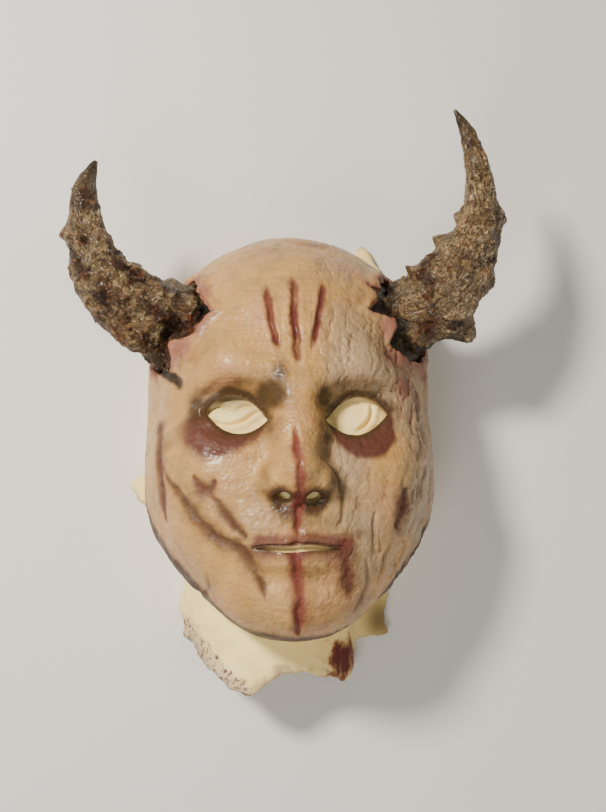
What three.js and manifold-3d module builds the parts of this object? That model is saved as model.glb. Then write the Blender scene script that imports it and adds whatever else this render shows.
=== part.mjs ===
// A horned horror mask: a painted latex face with open eyes, nostrils and mouth, two cast horns that
// tear out through its temples, and the rough hollow plaster head form that it is kept on.
// It lies on its back: +X to the viewer's right, +Y to the crown, +Z out of the face. Millimetres.
import * as THREE from "three";
import { mergeVertices } from "three/addons/utils/BufferGeometryUtils.js";
import Module from "manifold-3d";

const wasm = await Module();
wasm.setup();

// Driving sizes. The head's own axes cross below the root of the nose, on the table.
const SKULL = { centre: [0, 32, 16], radii: [87, 93, 100] };
const JAW = { centre: [0, -36, 32], radii: [86.5, 73, 82] };
const JAW_SOFT = 30;
const SKIN = 3.5; // thickness of the latex
const REST_GAP = 0.5; // air between two pieces that touch
const PLASTER = 6; // wall of the head form
const SIGHT = [0, 0, 45]; // the point inside the head that every surface is measured from
const BOX_CENTRE = [-4.37, 15.75]; // middle of the object's outline, moved onto the origin

// Lumps of clay on the right half of the face; the left half mirrors them. A lump is a ball with three
// radii or a roll between two points with a radius at each end; soft is how far it melts into the rest.
const HEAD_CLAY = [
  { centre: [0, -60, 60], radii: [60, 55, 56], soft: 26 }, // lower face
  { centre: [40, -20, 82], radii: [30, 18, 25], soft: 28 }, // cheekbone
  { centre: [34, -48, 86], radii: [22, 26, 18], soft: 24 }, // cheek
  { centre: [0, -68, 95], radii: [29, 22, 22], soft: 18 }, // muzzle
  { centre: [0, -98, 86], radii: [32, 19, 21], soft: 28 }, // chin
];
const BROW_CLAY = [
  { from: [9, 15, 106], to: [34, 24, 102], ends: [8, 7.5], soft: 22 },
  { from: [34, 24, 102], to: [57, 13, 82], ends: [7.5, 7], soft: 22 },
  { centre: [33, 1, 122], radii: [22, 12, 20], soft: 16, hollow: true }, // eye socket
];
const LID_CLAY = [{ centre: [33, -1, 91.5], radii: [20, 15, 16], soft: 7 }];
const NOSE_CLAY = [
  { from: [0, 18, 105], to: [0, -10, 117], ends: [9, 8.5], soft: 16 }, // bridge
  { from: [0, -10, 117], to: [0, -33, 129], ends: [8.5, 10.5], soft: 12 }, // tip
  { centre: [11, -38, 121], radii: [8.5, 8, 11], soft: 8 }, // wing
  { from: [0, -40, 127], to: [0, -48, 118], ends: [5.5, 5], soft: 7 }, // between the nostrils
];
const LIP_CLAY = [
  { from: [3.5, -67, 114.5], to: [25, -72.5, 103.5], ends: [6, 2.4], soft: 4 },
  { from: [6, -78, 112.5], to: [23, -74, 104], ends: [6.6, 2.7], soft: 4 },
  { centre: [0, -78.5, 112.5], radii: [10, 6.2, 6.6], soft: 4 },
  { from: [0, -53, 124], to: [0, -63, 124], ends: [1.5, 2.5], soft: 3, hollow: true },
  { from: [0, -91.5, 121], to: [14, -89.5, 117], ends: [4, 3], soft: 9, hollow: true },
];
// The plaster head wears a plainer face: shut eyes and a lower nose.
const PLASTER_SHRINK = 4;
const PLASTER_CLAY = [
  { centre: [33, -1, 88], radii: [15, 12.5, 13.5], soft: 3 },
  { from: [0, 14, 98], to: [0, -34, 116], ends: [8, 10], soft: 12 },
];

// Openings of the face, by the canon: eyes half way down the head, mouth a third below the nose.
const EYE = { x: 33, y: -1, z: 82, width: 35, height: 22, tilt: 0.1 };
const MOUTH = { y: -73, z: 85, width: 46, height: 3.4 };
const NOSTRIL = { x: 8, y: -43, z: 121, radius: 4.3, deep: 16, sides: 14, lean: 42, splay: 12 };
const CUT_DEPTH = 70;
const CUT_CURVE = 10; // straight pieces to a curved edge

// Horns: middle line from inside the temple to the tip, radius at each point, and knobs and dents
// placed by their way along the horn and their turn round it in degrees (0 outward, 90 to the back).
const HORN_LEFT = {
  side: -1,
  path: [
    [-46, 52, 54], [-69, 57.5, 67], [-91.5, 66, 80], [-108.5, 80, 86],
    [-117, 99, 88.5], [-120.5, 114.5, 90], [-120.5, 131, 92], [-114.5, 147.5, 94],
  ],
  radii: [23, 23.5, 21, 17.5, 12.5, 9.5, 6.8, 1],
  knobs: [
    { at: 0.2, turn: 10, high: 4, wide: 7 }, { at: 0.34, turn: 335, high: 5, wide: 6 },
    { at: 0.47, turn: 180, high: 3, wide: 5 }, { at: 0.25, turn: 170, high: 5, wide: 7 },
    { at: 0.72, turn: 5, high: 5.5, wide: 4 }, { at: 0.4, turn: 80, high: 2.5, wide: 7 },
    { at: 0.2, turn: 306, high: -6, wide: 13 },
  ],
};
const HORN_RIGHT = {
  side: 1,
  path: [
    [45.5, 57, 56], [67.5, 64.5, 71], [82, 72.5, 80], [93, 86.5, 85.5],
    [106, 110.5, 89], [109, 129.5, 91], [107.5, 148.5, 93], [102, 169, 95], [93.5, 184.5, 97],
  ],
  radii: [20, 21, 21, 20, 14, 10.5, 7.4, 4.9, 0.9],
  knobs: [
    { at: 0.28, turn: 8, high: 12, wide: 4.5 }, { at: 0.47, turn: 175, high: 5, wide: 5 },
    { at: 0.6, turn: 180, high: 4, wide: 4 }, { at: 0.62, turn: 0, high: 4.5, wide: 4.5 },
    { at: 0.43, turn: 10, high: 3, wide: 6 }, { at: 0.3, turn: 190, high: 4, wide: 6 },
  ],
};
const HORN_RINGS = 34;
const HORN_SIDES = 12;
const GROWTH = { high: 0.045, pitch: 46, slant: 0.8 }; // rings across a horn, as a share of its radius
const FLUTES = [
  { high: 0.05, count: 3, twist: 5 },
  { high: 0.035, count: 5, twist: -9 },
];

// Torn edge of the skin round each horn: turn of each corner in degrees, and radius from the horn's
// middle line.
const TEAR_LEFT = [
  [0, 30], [11, 28], [24, 32], [36, 32], [43, 25.5], [51, 23], [60, 23.5], [68, 26.5],
  [76, 29.5], [86, 28.5], [95, 32.5], [99, 36.5], [107, 32], [125, 26.5], [146, 26], [169, 28],
  [190, 31], [212, 27], [236, 31], [262, 25.5], [288, 30], [314, 25.5], [340, 29.5],
];
const TEAR_RIGHT = [
  [0, 29], [20, 25], [44, 30], [68, 24], [92, 29], [116, 24.5], [140, 29], [162, 25],
  [181, 28], [200, 24.5], [214, 27], [224, 24.5], [232, 33], [243, 27.5], [254, 32], [263, 38.5],
  [269, 30], [277, 26], [285, 27], [292, 31], [298, 37], [305, 36], [317, 33], [332, 31.5], [348, 29],
];
const TEAR_LIFT = { high: 5, wide: 32 }; // how far the skin stands up round a horn
// Puffed lobes of torn skin that lap over the horns.
const LOBES = [{ at: [-71, 44, 80], high: 7, wide: 12 }, { at: [58, 56, 92], high: 3, wide: 10 }];
const FOOT = { radius: 40, corners: 16, low: 39 }; // the horn's round foot, under the skin
const ROOT_AT = 0.12;
const ROOT_POST = 64;

// Rims, as angles in degrees from the line of sight.
const MASK_RIM = { side: 97, crown: 92, chin: 74, waver: 1.1 };
const MASK_RIM_CLEAR = { side: 98, crown: 93, chin: 73, waver: 1.1 };
const FORM_RIM = { side: 124, crown: 116, chin: 112, waver: 0 };
const CORE_RIM = { side: 124, crown: 116, chin: 118, waver: 0 };

// The form's neck, brim and the tabs of plaster that ran past the mould.
const NECK = { x: -11, half: 53, top: -80, end: -170, inside: -40 };
const NECK_END = [
  [-90, -110], [-58, -125], [-51, -138], [-41, -145], [-28, -153], [-19, -152], [-7, -142],
  [8.5, -141], [25, -143], [33, -149], [38, -147], [42, -132], [90, -116], [90, -200], [-90, -200],
];
const BRIM = { points: 44, high: 6, wide: 2, slope: -0.42 };
const CROWN_TAB = [[28, 102], [39.5, 118.5], [50, 131], [57, 122], [64, 110], [49, 90]];
const EAR_TAB = [
  [-72, -16], [-85, -25], [-91, -24.5], [-97, -28], [-97, -32], [-93, -36], [-92, -41], [-86, -42],
  [-70, -34],
];
const LEFT_TAB = [
  [-45, -84], [-65.5, -94.5], [-66, -108], [-63.5, -118], [-57, -127], [-35, -131], [-29, -95],
];
const RIGHT_TAB = [
  [50, -82], [65, -95], [63.5, -101], [61.5, -108], [63.5, -120.5], [57, -124], [46, -123],
  [20, -131], [20, -95],
];
const TABS = [
  { low: 0, high: 7, points: CROWN_TAB }, { low: 3, high: 16, points: EAR_TAB },
  { low: 0, high: 8, points: LEFT_TAB }, { low: 0, high: 8, points: RIGHT_TAB },
];
const WIDE_SQUARE = [[-300, -300], [300, -300], [300, 300], [-300, 300]];
const FAR_BELOW = -200;
const FAR_ABOVE = 160;

const rad = THREE.MathUtils.degToRad;
const mix = (a, b, t) => a + (b - a) * t;
const along = (o, d, t) => [o[0] + d[0] * t, o[1] + d[1] * t, o[2] + d[2] * t];
const less = (a, b) => [a[0] - b[0], a[1] - b[1], a[2] - b[2]];
const distance = (a, b) => Math.hypot(...less(a, b));
const mirrored = (p) => [Math.abs(p[0]), p[1], p[2]];

// Signed distances of the clay.
function join(a, b, soft) {
  const h = Math.max(soft - Math.abs(a - b), 0) / soft;
  return Math.min(a, b) - (h * h * soft) / 4;
}

function ball(p, centre, radii) {
  const q = less(p, centre);
  const near = Math.hypot(...q.map((v, i) => v / radii[i]));
  const slope = Math.hypot(...q.map((v, i) => v / radii[i] ** 2));
  return (near * (near - 1)) / Math.max(slope, 1e-9);
}

function roll(p, from, to, ends) {
  const axis = less(to, from);
  const reached = less(p, from);
  const dot = (u, v) => u[0] * v[0] + u[1] * v[1] + u[2] * v[2];
  const h = THREE.MathUtils.clamp(dot(reached, axis) / dot(axis, axis), 0, 1);
  return distance(reached, along([0, 0, 0], axis, h)) - mix(...ends, h);
}

function sculpt(m, clay, start) {
  return clay.reduce((d, lump) => {
    const body = lump.centre ? ball(m, lump.centre, lump.radii) : roll(m, lump.from, lump.to, lump.ends);
    return lump.hollow ? -join(-d, body, lump.soft) : join(d, body, lump.soft);
  }, start);
}

const skullField = (m) => join(ball(m, SKULL.centre, SKULL.radii), ball(m, JAW.centre, JAW.radii), JAW_SOFT);
const headField = (m) => sculpt(m, HEAD_CLAY, skullField(m));

// How far the skin stands up at a point, round the horns and in their lobes.
const RISES = [...[HORN_LEFT, HORN_RIGHT].map((horn) => ({ at: horn.path[1], ...TEAR_LIFT })), ...LOBES];

function liftField(p) {
  const share = (rise) => Math.exp(-((distance(p, rise.at) / rise.wide) ** 2));
  return RISES.reduce((sum, rise) => sum + rise.high * share(rise), 0);
}

// The mask's outside, and the plaster face under it.
function maskField(p) {
  const m = mirrored(p);
  const face = sculpt(m, [...BROW_CLAY, ...LID_CLAY, ...NOSE_CLAY, ...LIP_CLAY], headField(m));
  return face - liftField(p);
}

function plasterField(p) {
  const m = mirrored(p);
  return sculpt(m, [...BROW_CLAY, ...PLASTER_CLAY], headField(m) + PLASTER_SHRINK);
}

// Distance from SIGHT to where a field reaches a level, walked inward along a direction.
const MARCH = { from: 200, steps: 90, stride: 0.8 };

function reach(field, direction, level) {
  let r = MARCH.from;
  for (let step = 0; step < MARCH.steps; step += 1) {
    r -= MARCH.stride * (field(along(SIGHT, direction, r)) - level);
  }
  return r;
}

const LINING_SLACK = 0.3;
const CORE_SLACK = 2;
const CLEAR_HEIGHT = 4;
const skinReach = (d) => reach(maskField, d, 0);
const liningReach = (d) => reach(maskField, d, -SKIN) - LINING_SLACK;
const underSkinReach = (d) => liningReach(d) - REST_GAP;
const formReach = (d) => Math.min(
  underSkinReach(d) - liftField(along(SIGHT, d, skinReach(d))),
  reach(plasterField, d, 0),
);
// The hollow is plainer than the face: skull and jaw alone.
const coreReach = (d) => reach(skullField, d, -SKIN - REST_GAP - PLASTER - CORE_SLACK);

function rimAngle(rim, turn) {
  const mean = (rim.crown + rim.chin + 2 * rim.side) / 4;
  const upright = (rim.crown - rim.chin) / 2;
  const wave = Math.sin(5 * turn + 1) + 0.7 * Math.sin(9 * turn);
  return rad(mean + upright * Math.sin(turn) + (rim.side - mean) * Math.cos(2 * turn) + rim.waver * wave);
}

// A square grid pressed onto a disc of directions, so that rows cross the mouth and columns the nose.
function direction(rim, u, v) {
  const x = u * Math.sqrt(1 - (v * v) / 2);
  const y = v * Math.sqrt(1 - (u * u) / 2);
  const turn = Math.atan2(y, x);
  const tilt = Math.hypot(x, y) * rimAngle(rim, turn);
  return [Math.sin(tilt) * Math.cos(turn), Math.sin(tilt) * Math.sin(turn), Math.cos(tilt)];
}

// Grid lines from [value, lines up to the next value] pairs.
function stops(...pairs) {
  const lines = [];
  pairs.slice(0, -1).forEach(([from, count], i) => {
    for (let k = 0; k < count; k += 1) lines.push(mix(from, pairs[i + 1][0], k / count));
  });
  return [...lines, pairs.at(-1)[0]];
}
const FACE_COLUMNS = stops([-1, 3], [-0.7, 2], [-0.5, 5], [-0.2, 10], [0.2, 5], [0.5, 2], [0.7, 3], [1, 0]);
const FACE_ROWS = stops(
  [-1, 3], [-0.85, 2], [-0.73, 7], [-0.56, 2], [-0.49, 7], [-0.37, 4], [-0.25, 9], [0.3, 12], [1, 0],
);
const FORM_COLUMNS = stops([-1, 4], [-0.4, 4], [-0.1, 3], [0.1, 4], [0.4, 4], [1, 0]);
const FORM_ROWS = stops([-1, 4], [-0.62, 6], [-0.12, 7], [0.25, 6], [1, 0]);
const CORE_COLUMNS = stops([-1, 12], [1, 0]);
const CORE_ROWS = stops([-1, 16], [1, 0]);
const PLUG_SIDES = 40;
const PLUG_INSET = 4;

function solid(positions, triangles) {
  return new wasm.Manifold(
    new wasm.Mesh({
      numProp: 3,
      vertProperties: Float32Array.from(positions),
      triVerts: Uint32Array.from(triangles),
    }),
  );
}

// A closed dome: the grid's points at the length that lengthOf gives, and a fan back to SIGHT.
function dome(rim, columns, rows, lengthOf) {
  const positions = [];
  for (const v of rows) {
    for (const u of columns) {
      const d = direction(rim, u, v);
      positions.push(...along(SIGHT, d, lengthOf(d)));
    }
  }
  const point = (k) => positions.slice(3 * k, 3 * k + 3);
  const wide = columns.length;
  const tall = rows.length;
  const triangles = [];
  for (let j = 0; j + 1 < tall; j += 1) {
    for (let i = 0; i + 1 < wide; i += 1) {
      const a = j * wide + i;
      const [b, c, d] = [a + 1, a + wide + 1, a + wide];
      const across = distance(point(a), point(c)) < distance(point(b), point(d));
      triangles.push(...(across ? [a, b, c, a, c, d] : [a, b, d, b, c, d]));
    }
  }
  const loop = [];
  for (let i = 0; i + 1 < wide; i += 1) loop.push(i);
  for (let j = 0; j + 1 < tall; j += 1) loop.push(j * wide + wide - 1);
  for (let i = wide - 1; i > 0; i -= 1) loop.push((tall - 1) * wide + i);
  for (let j = tall - 1; j > 0; j -= 1) loop.push(j * wide);
  const apex = positions.length / 3;
  positions.push(...SIGHT);
  loop.forEach((k, n) => triangles.push(loop[(n + 1) % loop.length], k, apex));
  return solid(positions, triangles);
}

function solidOf(geometry) {
  const bare = geometry.index ? geometry.toNonIndexed() : geometry.clone();
  bare.deleteAttribute("normal");
  bare.deleteAttribute("uv");
  const merged = mergeVertices(bare, 1e-3);
  return solid(merged.attributes.position.array, merged.index.array);
}

const outline = (points) => new THREE.Shape(points.map(([x, y]) => new THREE.Vector2(x, y)));

function bar(shape, depth) {
  return new THREE.ExtrudeGeometry(shape, { depth, bevelEnabled: false, curveSegments: CUT_CURVE });
}

const prism = (points, low, high) => solidOf(bar(outline(points), high - low).translate(0, 0, low));

// The almond of an eye, with its inner corner a little lower than the outer one.
function eyeCutter(side) {
  const half = EYE.width / 2;
  const shape = new THREE.Shape();
  shape.moveTo(-half, -1);
  shape.quadraticCurveTo(-half * 0.1, -EYE.height * 0.95, half, 0.6);
  shape.quadraticCurveTo(half * 0.1, EYE.height * 1.02, -half, -1);
  const geometry = bar(shape, CUT_DEPTH).rotateZ(EYE.tilt);
  geometry.scale(side, 1, 1).translate(side * EYE.x, EYE.y, EYE.z);
  if (side < 0) flip(geometry);
  return solidOf(geometry);
}

function flip(geometry) {
  const p = geometry.attributes.position;
  for (let i = 0; i < p.count; i += 3) {
    const [x, y, z] = [p.getX(i), p.getY(i), p.getZ(i)];
    p.setXYZ(i, p.getX(i + 1), p.getY(i + 1), p.getZ(i + 1));
    p.setXYZ(i + 1, x, y, z);
  }
}

function mouthCutter() {
  const half = MOUTH.width / 2;
  const shape = new THREE.Shape();
  shape.moveTo(-half, 0);
  shape.quadraticCurveTo(0, -MOUTH.height, half, 0);
  shape.quadraticCurveTo(0, MOUTH.height, -half, 0);
  return solidOf(bar(shape, CUT_DEPTH).translate(0, MOUTH.y, MOUTH.z));
}

function nostrilCutter(side) {
  const geometry = new THREE.CylinderGeometry(NOSTRIL.radius, NOSTRIL.radius, NOSTRIL.deep, NOSTRIL.sides);
  geometry.scale(0.9, 1, 1.3).rotateX(rad(-NOSTRIL.lean)).rotateZ(rad(-NOSTRIL.splay * side));
  return solidOf(geometry.translate(side * NOSTRIL.x, NOSTRIL.y, NOSTRIL.z));
}

// A horn's middle, way and cross directions at t.
function hornFrame(horn, t) {
  const curve = new THREE.CatmullRomCurve3(horn.path.map((p) => new THREE.Vector3(...p)));
  const centre = curve.getPointAt(t);
  const tangent = curve.getTangentAt(t);
  const outer = new THREE.Vector3(0, 0, 1).cross(tangent).normalize().multiplyScalar(-horn.side);
  const back = new THREE.Vector3().crossVectors(outer, tangent).normalize().multiplyScalar(-horn.side);
  return { centre, tangent, outer, back };
}

function hornRadius(horn, t, turn) {
  const lengths = horn.path.slice(1).map((p, i) => distance(p, horn.path[i]));
  const total = lengths.reduce((a, b) => a + b);
  let walked = 0;
  let radius = horn.radii.at(-1);
  for (let i = 0; i < lengths.length; i += 1) {
    const next = walked + lengths[i] / total;
    if (t <= next) {
      radius = mix(horn.radii[i], horn.radii[i + 1], (t - walked) / (next - walked));
      break;
    }
    walked = next;
  }
  const rings = GROWTH.high * Math.sin(t * GROWTH.pitch + GROWTH.slant * Math.cos(turn)) * (1 - t);
  const flutes = FLUTES.reduce((sum, f) => sum + f.high * Math.sin(f.count * turn + f.twist * t), 0);
  const swell = horn.knobs.reduce((sum, knob) => {
    const away = turn - rad(knob.turn);
    const swing = Math.atan2(Math.sin(away), Math.cos(away)) * radius;
    const run = (t - knob.at) * total;
    return sum + knob.high * Math.exp(-(swing * swing + run * run) / (knob.wide * knob.wide));
  }, 0);
  return radius * (1 + rings + flutes) + swell;
}

// A horn as rings along its middle line; grow makes a fatter copy for cutting clearance.
function hornSolid(horn, grow = 0) {
  const positions = [];
  const triangles = [];
  for (let k = 0; k < HORN_RINGS; k += 1) {
    const t = k / HORN_RINGS;
    const { centre, outer, back } = hornFrame(horn, t);
    for (let s = 0; s < HORN_SIDES; s += 1) {
      const turn = (s / HORN_SIDES) * 2 * Math.PI;
      const r = hornRadius(horn, t, turn) + grow;
      const p = centre.clone();
      p.addScaledVector(outer, r * Math.cos(turn)).addScaledVector(back, r * Math.sin(turn));
      positions.push(p.x, p.y, p.z);
      if (k === 0) continue;
      const a = k * HORN_SIDES + s;
      const b = k * HORN_SIDES + ((s + 1) % HORN_SIDES);
      triangles.push(a - HORN_SIDES, b, a, a - HORN_SIDES, b - HORN_SIDES, b);
    }
  }
  const foot = positions.length / 3;
  positions.push(...horn.path[0], ...horn.path.at(-1));
  const top = (HORN_RINGS - 1) * HORN_SIDES;
  for (let s = 0; s < HORN_SIDES; s += 1) {
    const next = (s + 1) % HORN_SIDES;
    triangles.push(next, s, foot, top + s, top + next, foot + 1);
  }
  const made = solid(positions, triangles);
  return made.volume() > 0 ? made : solid(positions, triangles.reverse());
}

// A many-sided post along a horn's root, with a turn and a radius for each corner.
function rootPost(horn, corners) {
  const { tangent, outer } = hornFrame(horn, ROOT_AT);
  const points = corners.map(([turn, r]) => [r * Math.cos(rad(turn)), r * Math.sin(rad(turn))]);
  const geometry = bar(outline(points), ROOT_POST).translate(0, 0, -ROOT_POST / 2);
  const up = new THREE.Vector3().crossVectors(tangent, outer);
  geometry.applyMatrix4(new THREE.Matrix4().makeBasis(outer, up, tangent).setPosition(...horn.path[1]));
  return solidOf(geometry);
}

// The hollow below the sight point, down through the open back.
function corePlug() {
  const points = [];
  for (let k = 0; k < PLUG_SIDES; k += 1) {
    const turn = (k / PLUG_SIDES) * 2 * Math.PI;
    const r = coreReach([Math.cos(turn), Math.sin(turn), 0]) - PLUG_INSET;
    points.push([r * Math.cos(turn), r * Math.sin(turn)]);
  }
  return prism(points, -10, SIGHT[2]);
}

const lining = dome(FORM_RIM, FORM_COLUMNS, FORM_ROWS, liningReach);
const underSkin = dome(FORM_RIM, FORM_COLUMNS, FORM_ROWS, underSkinReach);
const formHead = dome(FORM_RIM, FORM_COLUMNS, FORM_ROWS, formReach);
const formGrown = dome(FORM_RIM, FORM_COLUMNS, FORM_ROWS, (d) => formReach(d) + REST_GAP);
const core = dome(CORE_RIM, CORE_COLUMNS, CORE_ROWS, coreReach).add(corePlug());
// The skin with air round it, which the form keeps clear of.
const skinGrown = dome(MASK_RIM_CLEAR, CORE_COLUMNS, CORE_ROWS, (d) => skinReach(d) + CLEAR_HEIGHT);
const skinSpace = skinGrown.subtract(underSkin);

// A cut can leave crumbs; the piece is the largest body.
function largest(made) {
  return made.decompose().sort((a, b) => b.volume() - a.volume())[0];
}

function makeSkin() {
  const cutters = [
    lining, eyeCutter(-1), eyeCutter(1), mouthCutter(), nostrilCutter(-1), nostrilCutter(1),
    rootPost(HORN_LEFT, TEAR_LEFT), rootPost(HORN_RIGHT, TEAR_RIGHT),
    hornSolid(HORN_LEFT, REST_GAP), hornSolid(HORN_RIGHT, REST_GAP),
  ];
  const face = dome(MASK_RIM, FACE_COLUMNS, FACE_ROWS, skinReach);
  return largest(cutters.reduce((skin, cutter) => skin.subtract(cutter), face));
}

// A horn on its foot, which is spread between the plaster and the skin.
function makeHorn(horn) {
  const ring = Array.from({ length: FOOT.corners }, (_, k) => [(k * 360) / FOOT.corners, FOOT.radius]);
  const foot = underSkin.intersect(rootPost(horn, ring)).intersect(prism(WIDE_SQUARE, FOOT.low, FAR_ABOVE));
  return largest(hornSolid(horn).add(foot).subtract(formGrown));
}

// A half round tunnel that stands open on the table.
function halfTube(half, from, to) {
  const shape = new THREE.Shape();
  shape.moveTo(-half, -12);
  shape.lineTo(-half, 0);
  shape.absellipse(0, 0, half, half, Math.PI, 0, true);
  shape.lineTo(half, -12);
  return solidOf(bar(shape, from - to).rotateX(Math.PI / 2).translate(NECK.x, from, 0));
}

function brimPoints() {
  const points = [];
  for (let k = 0; k < BRIM.points; k += 1) {
    const turn = (k / BRIM.points) * 2 * Math.PI;
    const d = new THREE.Vector3(Math.cos(turn), Math.sin(turn), BRIM.slope).normalize();
    const r = formReach(d.toArray());
    const wide = BRIM.wide + 1.6 * Math.sin(7 * turn) + 1.2 * Math.sin(12 * turn + 2);
    points.push([d.x * r + Math.cos(turn) * wide, d.y * r + Math.sin(turn) * wide]);
  }
  return points;
}

function makeForm() {
  const solids = [
    formHead, halfTube(NECK.half, NECK.top, NECK.end), prism(brimPoints(), 0, BRIM.high),
    ...TABS.map((tab) => prism(tab.points, tab.low, tab.high)),
  ];
  const cutters = [
    skinSpace, core, halfTube(NECK.half - PLASTER, NECK.inside, NECK.end - 10),
    prism(NECK_END, FAR_BELOW, FAR_ABOVE), prism(WIDE_SQUARE, FAR_BELOW, 0),
  ];
  const whole = solids.reduce((form, part) => form.add(part));
  return largest(cutters.reduce((form, cutter) => form.subtract(cutter), whole));
}

function meshOf(name, made, look) {
  const { vertProperties, triVerts } = made.getMesh();
  const geometry = new THREE.BufferGeometry();
  geometry.setAttribute("position", new THREE.BufferAttribute(vertProperties, 3));
  geometry.setIndex(new THREE.BufferAttribute(triVerts, 1));
  geometry.computeVertexNormals();
  const mesh = new THREE.Mesh(geometry, new THREE.MeshStandardMaterial(look));
  mesh.name = name;
  return mesh;
}

const LATEX = { color: 0xc9a580, roughness: 0.45, metalness: 0 };
const HORN = { color: 0x6b5238, roughness: 0.4, metalness: 0 };
const GYPSUM = { color: 0xeee3c8, roughness: 0.85, metalness: 0 };

const mask = new THREE.Group();
mask.add(meshOf("mask_skin", makeSkin(), LATEX));
mask.add(meshOf("horn_left", makeHorn(HORN_LEFT), HORN));
mask.add(meshOf("horn_right", makeHorn(HORN_RIGHT), HORN));
mask.add(meshOf("plaster_form", makeForm(), GYPSUM));
mask.position.set(-BOX_CENTRE[0], -BOX_CENTRE[1], 0);

export default mask;
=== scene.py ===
"""Looks of a horned horror mask: painted latex face, two cast horns, and a rough plaster head form.

Sizes are in millimetres in the head's own axes (+X to the viewer's right, +Y to the crown, +Z out of
the face) until to_frame turns them into the frame's metres.
"""

import math

import bmesh
import bpy
import numpy as np
from mathutils import Matrix, Vector


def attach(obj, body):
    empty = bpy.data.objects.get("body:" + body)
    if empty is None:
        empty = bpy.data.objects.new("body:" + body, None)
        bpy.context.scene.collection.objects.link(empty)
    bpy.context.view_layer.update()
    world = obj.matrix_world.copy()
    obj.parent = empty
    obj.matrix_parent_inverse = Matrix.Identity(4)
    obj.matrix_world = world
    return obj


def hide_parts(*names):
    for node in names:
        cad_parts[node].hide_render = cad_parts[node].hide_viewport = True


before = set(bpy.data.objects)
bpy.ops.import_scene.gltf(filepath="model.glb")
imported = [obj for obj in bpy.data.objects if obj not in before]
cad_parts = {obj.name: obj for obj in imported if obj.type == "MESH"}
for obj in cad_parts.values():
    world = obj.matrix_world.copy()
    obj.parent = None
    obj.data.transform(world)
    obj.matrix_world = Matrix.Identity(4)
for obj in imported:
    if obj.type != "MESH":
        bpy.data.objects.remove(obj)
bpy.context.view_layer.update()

# Driving sizes, the same as the solid's.
SKULL = ((0, 32, 16), (87, 93, 100))
JAW = ((0, -36, 32), (86.5, 73, 82))
JAW_SOFT = 30
SKIN = 3.5
REST_GAP = 0.5
PLASTER = 6
LINING_SLACK = 0.3
CORE_SLACK = 2
SIGHT = np.array([0, 0, 45.0])
BOX_CENTRE = np.array([-4.37, 15.75, 0])
MM = 0.001

# Lumps of clay on the right half of the face: (centre, radii, soft) or (from, to, ends, soft), and
# True at the end where the lump is a hollow.
HEAD_CLAY = [
    ((0, -60, 60), (60, 55, 56), 26),
    ((40, -20, 82), (30, 18, 25), 28),
    ((34, -48, 86), (22, 26, 18), 24),
    ((0, -68, 95), (29, 22, 22), 18),
    ((0, -98, 86), (32, 19, 21), 28),
]
BROW_CLAY = [
    ((9, 15, 106), (34, 24, 102), (8, 7.5), 22),
    ((34, 24, 102), (57, 13, 82), (7.5, 7), 22),
    ((33, 1, 122), (22, 12, 20), 16, True),
]
LID_CLAY = [((33, -1, 91.5), (20, 15, 16), 7)]
NOSE_CLAY = [
    ((0, 18, 105), (0, -10, 117), (9, 8.5), 16),
    ((0, -10, 117), (0, -33, 129), (8.5, 10.5), 12),
    ((11, -38, 121), (8.5, 8, 11), 8),
    ((0, -40, 127), (0, -48, 118), (5.5, 5), 7),
]
LIP_CLAY = [
    ((3.5, -67, 114.5), (25, -72.5, 103.5), (6, 2.4), 4),
    ((6, -78, 112.5), (23, -74, 104), (6.6, 2.7), 4),
    ((0, -78.5, 112.5), (10, 6.2, 6.6), 4),
    ((0, -53, 124), (0, -63, 124), (1.5, 2.5), 3, True),
    ((0, -91.5, 121), (14, -89.5, 117), (4, 3), 9, True),
]
PLASTER_SHRINK = 4
PLASTER_CLAY = [
    ((33, -1, 88), (15, 12.5, 13.5), 3),
    ((0, 14, 98), (0, -34, 116), (8, 10), 12),
]

EYE = {"x": 33, "y": -1, "z": 82, "width": 35, "height": 22, "tilt": 0.1}
MOUTH = {"y": -73, "z": 85, "width": 46, "height": 3.4}
NOSTRIL = {"x": 8, "y": -43, "z": 121, "radius": 4.3, "deep": 16, "lean": 42, "splay": 12, "run": 6}
CUT_DEPTH = 70

HORN_LEFT = {
    "side": -1,
    "path": [
        (-46, 52, 54), (-69, 57.5, 67), (-91.5, 66, 80), (-108.5, 80, 86),
        (-117, 99, 88.5), (-120.5, 114.5, 90), (-120.5, 131, 92), (-114.5, 147.5, 94),
    ],
    "radii": [23, 23.5, 21, 17.5, 12.5, 9.5, 6.8, 1],
    "knobs": [  # way along, turn in degrees, height (below 0 for a dent), width
        (0.2, 10, 4, 7), (0.34, 335, 5, 6), (0.47, 180, 3, 5),
        (0.25, 170, 5, 7), (0.72, 5, 5.5, 4), (0.4, 80, 2.5, 7), (0.2, 306, -6, 13),
    ],
    "welts": [(0.55, 10), (0.68, 0)],
    "glint_boost": 0.0,
}
HORN_RIGHT = {
    "side": 1,
    "path": [
        (45.5, 57, 56), (67.5, 64.5, 71), (82, 72.5, 80), (93, 86.5, 85.5),
        (106, 110.5, 89), (109, 129.5, 91), (107.5, 148.5, 93), (102, 169, 95), (93.5, 184.5, 97),
    ],
    "radii": [20, 21, 21, 20, 14, 10.5, 7.4, 4.9, 0.9],
    "knobs": [
        (0.28, 8, 12, 4.5), (0.47, 175, 5, 5), (0.6, 180, 4, 4),
        (0.62, 0, 4.5, 4.5), (0.43, 10, 3, 6), (0.3, 190, 4, 6),
    ],
    "welts": [(0.62, 8)],
    # extra painted glints on this horn's lines
    "glint_boost": 0.07,
}
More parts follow.
